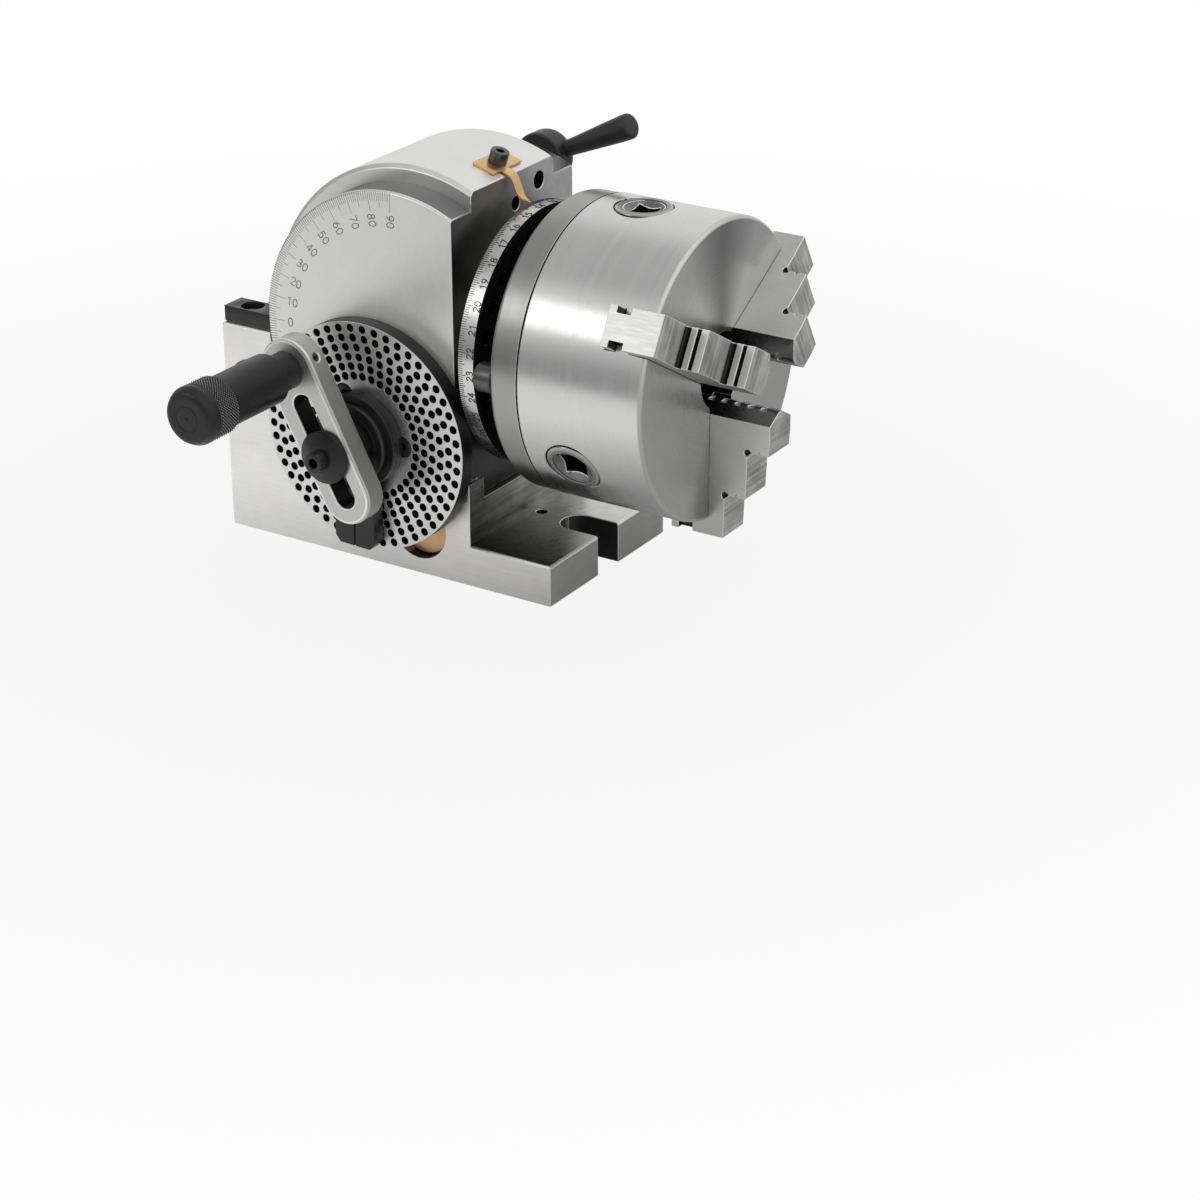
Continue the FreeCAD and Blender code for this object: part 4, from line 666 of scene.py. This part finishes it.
def make_base():

    def base_face(centre, normal):
        """The foot's end, the walls of its slot, other faces to the front and low tops, each a darker copy with
        painted shade, then the rest.
        """
        # The foot's +X ends: darker copy of the iron, painted shade.
        if normal.x > 0.9 and centre.x > 40:
            return END_SHADE_IRON
        # The slot's walls: near black, painted shade.
        if abs(centre.y) < 8.6 and centre.x > 30 and centre.z < 19 and abs(normal.z) < 0.3:
            return SLOT_SHADE_IRON
        # Other +X faces: darker copy of the iron with painted shade towards -Y.
        if normal.x > 0.9:
            return BLOCK_SHADE_IRON
        # Low tops: darker copy of the iron with painted shade towards -Y.
        return TOP_SHADE_IRON if normal.z > 0.9 and centre.z < 30 else IRON

    dressed("base_casting", "base", "ground_iron", [IRON, TOP_SHADE_IRON, END_SHADE_IRON, SLOT_SHADE_IRON, BLOCK_SHADE_IRON], 0.35,
            base_face, EDGE_HIGHLIGHT)
    dressed("clamp_pads", "base", "bronze", [BRONZE], 0.3)
    half, level, thickness, well = 11.5 / 2, 93, 7, 5.1
    middle = HALF_WIDTH - 2.5 - half
    upright = along((-79.5, 0, 0), (0, 0, 1), (0, 1, 0))
    outlines = []
    for side in (-middle, middle):
        outlines += [box_points(-10.8, 13.9, side - half, side + half), circle_points(0, side, well, 64)]
    blocks = plate_mesh("clamp_blocks_made", outlines, thickness, 0.3)
    # Rounded edges of the blocks take the lighter oxide: painted highlight.
    for face in blocks.polygons:
        face.material_index = int(0.2 < abs(face.normal.x) < 0.98)
    moved(blocks, upright @ Matrix.Translation((level, 0, 0)))
    attach(to_object("clamp_blocks_made", smooth(blocks), [BLACK_OXIDE, OXIDE_SHEEN]), "base", "black_oxide",
           "clamp_blocks")
    socket_screws("clamp_screws", "base", BLACK_OXIDE,
                  [upright @ Matrix.Translation((0, 0, side)) for side in (-middle, middle)],
                  seat=level + 0.2, head=4.2, radius=4.7, flats=5, depth=2.6, shank=4, length=15, bevel=0.5)
    socket_screws("tilt_lock_screws", "base", BLACK_OXIDE,
                  [along((-78, side * 34, 71.5), (0, side, 0)) for side in (-1, 1)],
                  seat=11, head=2.6, radius=6.5, flats=5, depth=2, shank=4, length=11, bevel=1.1)


# Pieces of the tilting body

def make_body():
    front_holes = ((19.5, 158), (2, 152.6))

    def body_face(centre, normal):
        reach = hypot(centre.x, centre.z - SPINDLE_HEIGHT)
        # +X faces: darker copy with painted shade.
        if normal.x > 0.9:
            return FACE_SHADE_IRON
        in_hole = any(hypot(centre.y - y, centre.z - z) < 4.2 for y, z in front_holes)
        # Walls of the two front holes: near black, painted shade.
        if in_hole and abs(normal.x) < 0.2 and centre.x < 31:
            return SHADE_BLACK
        # Faces of the end discs: brighter copy of the iron, painted light.
        if abs(normal.y) > 0.9 and abs(centre.y) > HALF_WIDTH - 1:
            return DISC_LIT_IRON
        # The groove's rim and walls: dark, painted shade.
        rim = abs(normal.y) < 0.3 and abs(centre.y) > 33.5 and reach < 66
        wall = abs(normal.y) > 0.9 and abs(centre.y) < HALF_WIDTH - 1 and reach > 64
        return GROOVE_SHADE_IRON if rim or wall else BODY_IRON

    dressed("swivel_casting", "tilting_body", "ground_iron",
            [BODY_IRON, FACE_SHADE_IRON, GROOVE_SHADE_IRON, SHADE_BLACK, DISC_LIT_IRON], 0.4, body_face, EDGE_HIGHLIGHT)
    for node, body, width in (("worm_bush", "tilting_body", 0.25), ("sector_cap", "tilting_body", 0.3),
                              ("sector_arm_rear", "rear_arm", 0.4), ("sector_arm_front", "front_arm", 0.4)):
        dressed(node, body, "black_oxide", [BLACK_OXIDE], width)


def pointer_path(inward):
    """Points of the tongue's middle line: a flat start, then one smooth S-bend down to the dial."""
    bend = [(30.6, 166.4), (32.3, 164.6), (33.4, 161.4), (34.9, 158.2), (37.0, 156.7), (39.4, 155.6)]
    outline = [(4.6, 72.7), (7.4, 72.7)] + [tuple((inward @ Vector((x, 0, z))).xz) for x, z in bend]
    curve = bpy.data.curves.new("pointer_path", "CURVE")
    curve.dimensions = "3D"
    curve.resolution_u = 6
    spline = curve.splines.new("NURBS")
    spline.points.add(len(outline) - 1)
    for point, (x, z) in zip(spline.points, outline):
        point.co = (x, 0, z, 1)
    spline.order_u = 3
    spline.use_endpoint_u = True
    return [vert.co.copy() for vert in final_mesh(linked("pointer_path", curve)).vertices]


def make_pointer():
    """Brass plate with a tongue that ends in a point over the dial, and its screw."""
    a = radians(POINTER_ANGLE)
    place = placed((cos(a), 0, -sin(a)), (0, 1, 0), (sin(a), 0, cos(a)), SPINDLE_CENTRE)
    points = pointer_path(place.inverted())
    middle, half_width, half_height, taper = -2.5, 2.5, 0.45, 6.4
    whole = sum((after - before).length for before, after in zip(points, points[1:]))
    work = bmesh.new()
    gone, rings = 0, []
    for index, point in enumerate(points):
        gone += (point - points[index - 1]).length if index else 0
        ahead = points[min(index + 1, len(points) - 1)] - points[max(index - 1, 0)]
        normal = Vector((-ahead.z, 0, ahead.x)).normalized() * half_height
        half = half_width * min(1, max(0.12, (whole - gone) / taper))
        corners = [point + normal * up + Vector((0, middle + side * half, 0))
                   for side, up in box_points(-1, 1, -1, 1)]
        rings.append([work.verts.new((place @ corner) * MM) for corner in corners])
    skin(work, rings)
    work.faces.new(rings[0])
    work.faces.new(rings[-1])
    tongue = to_object("pointer_tongue", smooth(closed_mesh(work, "pointer_tongue")), [BRASS])
    attach(soft_edges(tongue, 0.1), "tilting_body", "brass", "pointer")
    outlines = [box_points(-5.25, 5.25, -10.35, 10.35), circle_points(0, 0, 2.6, 32)]
    flat = placed((0, 0, 1), (1, 0, 0), (0, 1, 0), (0, 0, 72.2))
    square = moved(plate_mesh("pointer_plate", outlines, 1, 0.1), place @ flat)
    attach(to_object("pointer_plate", smooth(square), [BRASS]), "tilting_body", "brass")
    seat = along(SPINDLE_CENTRE, (sin(a), 0, cos(a)), (0, 1, 0))
    # The screw in the lighter oxide: painted sheen.
    socket_screws("pointer_screw", "tilting_body", OXIDE_SHEEN, [seat], knurl=True,
                  seat=73.2, head=5, radius=3.9, flats=3.2, depth=2.5, shank=2.4, length=9)


def make_index_plate():
    """Plate with six circles of round holes; a black ring near its back closes them, painted shade in the
    holes.
    """
    level, thickness, radius, screw_throw = 48, 7.5, 49.5, 19.5
    outlines = [circle_points(0, 0, radius, 180), circle_points(0, 0, 13, 72)]
    for index, count in enumerate(HOLE_COUNTS):
        throw = FIRST_CIRCLE + CIRCLE_STEP * index
        for step in range(count):
            a = 2 * pi * step / count
            outlines.append(circle_points(throw * sin(a), throw * cos(a), 1.76, 18))
    for step in range(3):
        a = 2 * pi * step / 3
        outlines.append(circle_points(-screw_throw * sin(a), screw_throw * cos(a), 4.55, 32))
    mesh = plate_mesh("index_plate_made", outlines, thickness, 0.14)
    # Hole walls near black as painted shade; the outer rim takes the rim material.
    for face in mesh.polygons:
        reach = hypot(face.center.y, face.center.z) / MM
        if abs(face.normal.x) < 0.2:
            face.material_index = 2 if reach > radius - 0.2 else 1
    place = around_worm(HANDLE_ANGLE)
    moved(mesh, place @ Matrix.Translation((level, 0, 0)))
    attach(to_object("index_plate_made", smooth(mesh, 15), [PLATE_STEEL, SHADE_BLACK, PLATE_RIM]),
           "tilting_body", "plate_steel", "index_plate")
    # A thin black disc behind the holes: painted shade.
    turned_piece("index_plate_back", [(48.3, 12.9), (48.3, 48.9), (48.6, 48.9), (48.6, 12.9)], place,
                 "tilting_body", "plate_steel", [SHADE_BLACK], closed=True)
    socket_screws("index_plate_screws", "tilting_body", BLACK_OXIDE,
                  [place @ turned_out(120 * step, screw_throw) for step in range(3)],
                  seat=51.5, head=3.8, radius=4.25, flats=3, depth=2, shank=2.5, length=14)


def make_lever():
    """Domed hub and a smooth tapered handle with a rounded end."""
    x, height = 12, 157
    hub = rounded([(0, 5.1), (0, 10.9), (0.6, 11.5), (9.5, 11.5), (12.6, 9.6), (13.7, 6.2), (13.7, 0)], 2.2, 6)
    turned_piece("lever_hub", hub, along((x, HALF_WIDTH + 0.3, height), (0, 1, 0)), "lock_lever", "lever_black",
                 [LEVER_BLACK], ["lock_lever_hub"])
    angle = radians(25)
    place = along((x, 53, height), (cos(angle), 0, sin(angle)), (0, 1, 0))
    handle = rounded([(7.5, 3.6), (11.5, 3.6), (14, 3.65), (20, 4.05), (28, 4.6), (36, 5.15), (42, 5.5),
                      (45.2, 5.5), (46.3, 4.4), (46.5, 2), (46.5, 0)], 1.5, 5)
    turned_piece("lever_handle", handle, place, "lock_lever", "lever_black", [LEVER_BLACK],
                 ["lock_lever_handle"], 64)


def make_protractor():
    """Degree scale round the front disc, with a number at each tenth line."""

    def on_disc(across, up):
        return Vector((across, -HALF_WIDTH - 0.02, SPINDLE_HEIGHT + up)) * MM

    def by_angle(angle, radius):
        a = radians(angle)
        return on_disc(radius * cos(a), radius * sin(a))

    marks = Marks(by_angle)
    for degree in range(-10, 91):
        inner = 56.2 if degree % 10 == 0 else 58.4 if degree % 5 == 0 else 60.8
        angle = 180 - degree
        marks.add(box_points(angle + 0.085, angle - 0.085, inner, 64.6))
    marks.piece("protractor_ticks", PALE_INK, "tilting_body", "ground_iron")
    digits = Marks(on_disc)
    for degree in range(0, 100, 10):
        a = radians(180 - degree)
        reach = 52.6 if degree else 53.2
        digits.digits(str(degree), 3.7, reach * cos(a), reach * sin(a), radians(-degree), 0.24)
    digits.piece("protractor_numbers", PALE_INK, "tilting_body", "ground_iron")


# Pieces of the worm and the crank

def make_crank():
    place = around_worm(HANDLE_ANGLE)
    turn_back = place.inverted()

    def arm_face(centre, normal):
        local = turn_back @ centre
        across = abs((turn_back.to_3x3() @ normal).x) < 0.3
        # Slot walls across the arm: near black, painted shade.
        return SLOT_SHADE_IRON if across and abs(local.y) < 5.6 and -22 < local.z < 28 else ARM_STEEL

    dressed("crank_arm", "crank", "satin_arm", [ARM_STEEL, SLOT_SHADE_IRON], 0.7, arm_face, EDGE_HIGHLIGHT)
    # The worm shaft's edges and the set screw in the lighter oxide: painted highlight and sheen.
    dressed("worm_shaft", "worm", "black_oxide", [BLACK_OXIDE], 0.3, edge=OXIDE_SHEEN)
    dressed("plunger_guide", "crank", "black_oxide", [SATIN_BLACK], 0.3)
    dressed("crank_set_screw", "crank", "black_oxide", [OXIDE_SHEEN], 0.1)
    washer = rounded([(81.5, 2.8), (81.5, 11.3), (83.3, 11.3), (85.5, 5.6), (85.5, 2.8)], 0.5)
    turned_piece("crank_washer_made", washer, place, "worm", "black_oxide", [SATIN_BLACK], ["crank_washer"],
                 closed=True)
    socket_screws("crank_screw", "worm", BLACK_OXIDE, [place],
                  seat=85.5, head=5, radius=4.25, flats=4, depth=3, shank=2.5, length=19, bevel=0.5)


def make_handle():
    """Sleeve and knob; the knob's rear half has a diamond knurl."""
    place = around_worm(HANDLE_ANGLE) @ Matrix.Translation((0, 0, PIN_CIRCLE))
    start, length, steps = 127.1, 11.3, 128
    sleeve = rounded([(92.9, 8.05), (92.9, 10), (93.7, 10.75), (126.5, 10.75), (126.6, 11.4),
                      (start, 11.9)], 0.4)
    turned_piece("handle_sleeve", sleeve, place, "plunger", "satin_arm", [SATIN_BLACK],
                 ["plunger_handle"], steps)
    cap = rounded([(start + length, 11.9), (139, 12.25), (141.2, 12.25), (144.2, 10.6), (144.8, 9.2),
                   (144.8, 5.6), (144.6, 5.5), (144.6, 4.9), (144.8, 4.8), (144.8, 0.8), (144.4, 0.5),
                   (144.3, 0)], 0.9, 5)
    turned_piece("handle_cap", cap, place, "plunger", "satin_arm", [SATIN_BLACK], steps=steps)
    around, rows, fade_rows = 448, 88, 5
    low, depth, flat = 11.75, 0.6, 0.7
    pitch = 2 * pi / 56
    work = bmesh.new()
    grid = []
    for row in range(rows + 1):
        x = start + length * row / rows
        fade = min(1, row / fade_rows, (rows - row) / fade_rows)
        lean = (x - start) / 12.25
        points = []
        for step in range(around):
            a = 2 * pi * step / around
            ridges = [abs(((a + way * lean) / pitch) % 1 - 0.5) * 2 for way in (1, -1)]
            radius = low + depth * fade * min(*ridges, flat) / flat
            points.append((radius * cos(a), radius * sin(a)))
        grid.append(ring_of(work, x, points))
    skin(work, grid)
    mesh = closed_mesh(work, "handle_knurl")
    # Knurl tips take a lighter black: painted highlight.
    for face in mesh.polygons:
        face.material_index = int(hypot(face.center.y, face.center.z) > 12.2 * MM)
    attach(to_object("handle_knurl", smooth(moved(mesh, place), 12), [KNURL_BLACK, KNURL_TIP_HIGHLIGHT]), "plunger",
           "satin_arm")


# Pieces of the spindle and the chuck

def make_spindle():
    dressed("spindle", "spindle_group", "steel", [SPINDLE_STEEL], 0.25)
    dressed("spindle_nut", "spindle_group", "black_oxide", [BLACK_OXIDE], 0.3)

    def dial_face(centre, normal):
        reach = hypot(centre.y, centre.z - SPINDLE_HEIGHT)
        front = centre.x > 38.5
        if abs(normal.x) < 0.3 and 44 < reach < 49 and front:
            return PINION_STEEL
        # Faces toward the chuck and the band in front of the dial ring: near black, painted shade.
        return SHADE_BLACK if normal.x > 0.7 or reach < 54 and front else DIAL_STEEL

    dressed("dial_ring", "spindle_group", "dial_steel", [DIAL_STEEL, SHADE_BLACK, PINION_STEEL], 0.15,
            dial_face)
    radius = 54.74

    def round_dial(x, angle):
        a = radians(angle)
        return Vector((x, radius * cos(a), SPINDLE_HEIGHT + radius * sin(a))) * MM

    marks = Marks(round_dial)
    start, half = 38.3, 0.12
    for degree in range(360):
        length = 3.4 if degree % 10 == 0 else 2.9 if degree % 5 == 0 else 2.1
        angle = 12 + degree
        marks.add(box_points(start, start + length, angle - half, angle + half))
    marks.piece("dial_ticks", INK, "spindle_group", "dial_steel")
    scale = degrees(1 / radius)
    digits = Marks(lambda across, up: round_dial(43.75 - up, -across * scale))
    for number in range(36):
        digits.digits(str(number), 3, -(102 + 10 * (number - 15)) / scale, 0, 0, 0.36)
    digits.piece("dial_numbers", INK, "spindle_group", "dial_steel")


def make_chuck():
    # Its rounded edges take a lighter steel: painted highlight.
    dressed("chuck_backplate", "spindle_group", "chuck_steel", [BACKPLATE_STEEL], 0.3, edge=PINION_STEEL)

    recess, depth = 12.2, 60.3
    work = bmesh.new()
    for angle in PINION_ANGLES:
        out = around_spindle(angle) @ Matrix.Translation((PINION_X, 0, 0))
        prism(work, out @ Matrix.Rotation(pi / 2, 4, "X"), circle_points(0, 0, recess, 64), depth, 66)

    def chuck_face(centre, normal):
        reach = hypot(centre.y, centre.z - SPINDLE_HEIGHT)
        # Slot floors toward the front: near black, painted shade.
        if normal.x > 0.5 and centre.x < 118:
            return SHADE_BLACK
        # The front face takes the painted reflection fan.
        if normal.x > 0.9 and reach < 62:
            return CHUCK_FACE
        # Walls of the slots and bores inside the rim: near black, painted shade.
        return SHADE_BLACK if reach < 61.2 and abs(normal.x) < 0.9 else CHUCK_STEEL

    dressed("chuck_body", "spindle_group", "chuck_steel", [CHUCK_STEEL, SHADE_BLACK, CHUCK_FACE], 0.4,
            chuck_face, BEVEL_STEEL, cutters=closed_mesh(work, "chuck_cutters"))
    # A black ring in the V between the rounded edges of body and backplate: painted shade.
    turned_piece("chuck_seam", [(70.85, 60.5), (70.85, 62.25), (71.1, 62.42), (71.6, 62.42), (71.6, 60.5)],
                 around_spindle(0), "spindle_group", "chuck_steel", [SHADE_BLACK], steps=192, closed=True)
    back = around_spindle(180) @ Matrix.Translation((57.75, 0, 0)) @ Matrix.Rotation(pi, 4, "Z")
    # The screws in the lighter oxide: painted sheen.
    socket_screws("backplate_screws", "spindle_group", OXIDE_SHEEN,
                  [back @ turned_out(120 * step, 55.5) for step in range(3)],
                  seat=0, head=8, radius=6.2, flats=5, depth=4, shank=3.9, length=24, bevel=0.8)
    for index, angle in enumerate(PINION_ANGLES, start=1):
        make_pinion(index, angle)
    for index, angle in enumerate(JAW_ANGLES, start=1):
        make_jaw(index, angle)


def make_pinion(index, angle):
    """Key pinion with a bright rim whose rounded edges carry a painted highlight, a grey mouth and a black
    square socket as painted shade, in a collar.
    """
    body = "key_pinion_%d" % index
    a = radians(angle)
    out = Vector((0, cos(a), sin(a)))
    centre = Vector((PINION_X, 0, SPINDLE_HEIGHT))

    def split(point):
        depth = (point - centre).dot(out)
        return depth, point - centre - out * depth

    def shape(point):
        depth, side = split(point)
        if side.length > 8.5 and depth > 52:
            side = side.normalized() * (side.length - 0.45)
            depth -= 0.3
        return centre + out * depth + side

    def face(point, normal):
        depth, side = split(point)
        # The square socket: near black, painted shade.
        if 45 < depth < 60.3 and side.length < 5.4:
            return SOCKET_SHADE
        # The conical mouth: grey, painted shade.
        return SHADED_STEEL if side.length < 8.3 and depth > 59 else PINION_STEEL

    dressed("pinion_%d" % index, body, "pinion_steel", [PINION_STEEL, SHADED_STEEL, SOCKET_SHADE], 0.25,
            face, EDGE_HIGHLIGHT, shape)
    # Collar: a dark flat as painted shade, a lighter rim as painted highlight.
    collar = [(60.8, 8.9), (60.8, 11.6), (61.6, 11.85), (62.0, 11.7), (62.5, 10.6), (62.5, 9.1), (62.3, 8.9)]
    turned_piece("pinion_collar_%d" % index, collar, along(centre, out, (1, 0, 0)), body, "pinion_steel",
                 [COLLAR_SHADE_STEEL, COLLAR_RIM_HIGHLIGHT], closed=True,
                 choose=lambda middle: COLLAR_RIM_HIGHLIGHT if middle.yz.length > 10.7 else COLLAR_SHADE_STEEL)


def make_jaw(index, angle):
    """Jaw with a groove across each step, relief holes in its corners and notches along its tip."""
    place = around_spindle(angle)
    turn_back = place.inverted()
    grooves = ((140.9, 49.6), (151, 29))
    corners = ((135.7, 49.8), (145.8, 29.2))
    wide = 10
    work = bmesh.new()
    for level, radius in grooves:
        section = [(level - 1.2, radius + 0.3), (level + 1.2, radius + 0.3), (level, radius - 1.6)]
        prism(work, place, section, -wide, wide)
    for level, radius in corners:
        prism(work, place, circle_points(level, radius, 1.55, 20), -wide, wide)
    slope = radians(30)
    for side in (-1, 1):
        for level in range(119, 154, 6):
            edge = Vector((0, side * cos(slope), sin(slope)))
            turn = placed((1, 0, 0), edge, (0, -side * edge.z, side * edge.y),
                          (level, side * 0.6, 11.9 - 0.4 * tan(slope)))
            section = [(-1.3, side * -0.3), (1.3, side * -0.3), (0, side * 0.9)]
            prism(work, place @ turn, section, 0, 1.7)

    def shape(point):
        return point + Vector((1.2, 0, 0)) if point.x < 109.7 else point

    def face(point, normal):
        local = turn_back @ point
        facing = turn_back.to_3x3() @ normal
        nearest = min(hypot(local.x - x, local.z - z) for x, z in corners)
        hollow = nearest < 1.7 and abs(facing.y) < 0.5
        groove = abs(facing.x) > 0.2 and any(abs(local.x - level) < 1.1 and -2.1 < local.z - radius < 1
                                             for level, radius in grooves)
        rail = 114 < local.x < 121 and abs(local.y) < 8.3 and abs(facing.z) < 0.5
        # Undersides: grey, painted shade.
        if local.z < 17 and facing.z < -0.3:
            return SHADED_STEEL
        # Hollows, grooves and rails: near black, painted shade.
        if hollow or groove or rail:
            return SOCKET_SHADE
        return streaked if facing.x > 0.9 else JAW_STEEL

    streaked = ground_metal("jaw_step_steel_%d" % index, (0.62, 0.62, 0.61), 0.34, (60, 20, 620), 0.5, 0.001,
                            turn=(radians(angle - 90), 0, 0))
    dressed("jaw_%d" % index, "sliding_jaw_%d" % index, "jaw_steel",
            [JAW_STEEL, SOCKET_SHADE, SHADED_STEEL, streaked], 0.3, face, EDGE_HIGHLIGHT, shape,
            closed_mesh(work, "jaw_cutters"))


make_base()
make_body()
make_pointer()
make_index_plate()
make_crank()
make_handle()
make_spindle()
make_chuck()
make_lever()
make_protractor()

# Nodes shown as they are
for label, finish in (("front_bush", BRONZE), ("rear_bush", BRONZE), ("worm_wheel", BRONZE),
                      ("scroll_ring", SPINDLE_STEEL), ("index_pin", SPINDLE_STEEL),
                      ("lock_stud", SPINDLE_STEEL)):
    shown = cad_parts[label]
    shown.data.materials.clear()
    shown.data.materials.append(finish)


# Stage, lamp and camera

KEY_AZIMUTH, KEY_ELEVATION = -37, 31

# Light panels of the surround: azimuth, elevation, full within, gone beyond (degrees), level
BASE_LIGHT = 0.38
PANELS = [
    (-150, 18, 15, 48, 0.5),
    (KEY_AZIMUTH, KEY_ELEVATION, 8, 30, 0.4),
    (100, 40, 20, 80, 0.5),
    (0, 90, 20, 60, 0.15),
    (0, -90, 70, 90, -0.22),
]


def floor_finish():
    """Pale floor that turns white to the camera near its rim and glows on one side in reflections."""
    made = Finish("floor_white", (0.5, 0.5, 0.5), 0, 0.7)
    made.tint(made.spread(made.noise(made.place(), 30, 3), 0, 1), 0.995, 1.005)
    fade = made.spread(made.compute("VectorMath", "LENGTH", made.place()), 0.88, 1, 0.2, 0.62)
    slope = made.compute("VectorMath", "DOT_PRODUCT", made.place(), (0.53, 0.85, 0))
    ramp = made.node("ValToRGB")
    made.feed(made.spread(slope, 0, 1, -0.6, 0.2), ramp.inputs["Fac"])
    stops = ramp.color_ramp.elements
    stops[0].color = (0.05, 0.05, 0.05, 1)
    stops[1].color = (0, 0, 0, 1)
    for position, level in ((0.2, 0.9), (0.58, 0.9), (0.76, 0.12)):
        stops.new(position).color = (level, level, level, 1)
    path = made.node("LightPath").outputs
    shares = [made.compute("Math", "MULTIPLY", fac, path[ray])
              for fac, ray in ((fade, "Is Camera Ray"), (ramp.outputs["Color"], "Is Glossy Ray"))]
    glow = made.node("Emission")
    mix = made.node("MixShader")
    sources = (made.compute("Math", "MAXIMUM", *shares), made.shader.outputs[0], glow.outputs[0])
    for source, socket in zip(sources, mix.inputs):
        made.feed(source, socket)
    made.feed(mix.outputs[0], made.tree.nodes["Material Output"].inputs["Surface"])
    return made.made


def make_stage():
    """A pale floor that keeps the shadow; its far parts fade into the white surround."""
    mesh = bpy.data.meshes.new("floor")
    edited(mesh, lambda work: bmesh.ops.create_circle(work, cap_ends=True, segments=96, radius=0.75))
    floor = to_object("floor", mesh, [floor_finish()])
    floor.location = (0, 0, -0.0005)


def aim(azimuth, elevation):
    """The direction from the part towards this azimuth and elevation, as the camera counts them."""
    a, e = radians(azimuth), radians(elevation)
    return Vector((sin(a) * cos(e), -cos(a) * cos(e), sin(e)))


def make_world():
    """Soft studio surround: white where the camera sees it, with broad lighter panels."""
    world = bpy.data.worlds.new("studio")
    bpy.context.scene.world = world
    world.use_nodes = True
    sky = Nodes(world.node_tree)
    place = sky.node("TexCoord").outputs["Generated"]
    level = BASE_LIGHT
    for azimuth, elevation, inner, outer, amount in PANELS:
        dot = sky.compute("VectorMath", "DOT_PRODUCT", place, aim(azimuth, elevation))
        panel = sky.spread(dot, 0, amount, cos(radians(outer)), cos(radians(inner)),
                           interpolation_type="SMOOTHSTEP")
        level = sky.compute("Math", "ADD", panel, level)
    seen = sky.node("LightPath").outputs["Is Camera Ray"]
    sky.feed(sky.mix(seen, level, (1, 1, 1, 1)), sky.tree.nodes["Background"].inputs["Color"])


def stand(name, data, target, direction, distance):
    """A lamp or camera out from a target along this direction, turned back to it."""
    made = linked(name, data)
    made.location = target + direction * distance
    made.rotation_mode = "QUATERNION"
    made.rotation_quaternion = (-direction).to_track_quat("-Z", "Y")
    return made


def make_lamp():
    """A soft box that faces the part."""
    data = bpy.data.lights.new("key", "AREA")
    data.shape = "RECTANGLE"
    data.size, data.size_y = 0.6, 0.34
    data.energy = 1.1
    stand("key", data, Vector((0.03, 0, 0.09)), aim(KEY_AZIMUTH, KEY_ELEVATION), 1.2)


def make_camera():
    """The photograph's view, from a fit of measured points."""
    focal_pixels, picture_pixels, roll = 3005.14, 1200, -0.18
    data = bpy.data.cameras.new("camera")
    data.sensor_width = 36
    data.lens = focal_pixels / picture_pixels * data.sensor_width
    data.clip_start, data.clip_end = 0.05, 50
    camera = stand("camera", data, Vector((50.0, 33.02, -33.93)) * MM, aim(32.13, 25.1), 1.32232)
    turn = Matrix.Rotation(radians(roll), 3, "Z").to_quaternion()
    camera.rotation_quaternion = camera.rotation_quaternion @ turn
    bpy.context.scene.camera = camera


make_stage()
make_world()
make_lamp()
make_camera()
bpy.context.scene.view_settings.view_transform = "Standard"
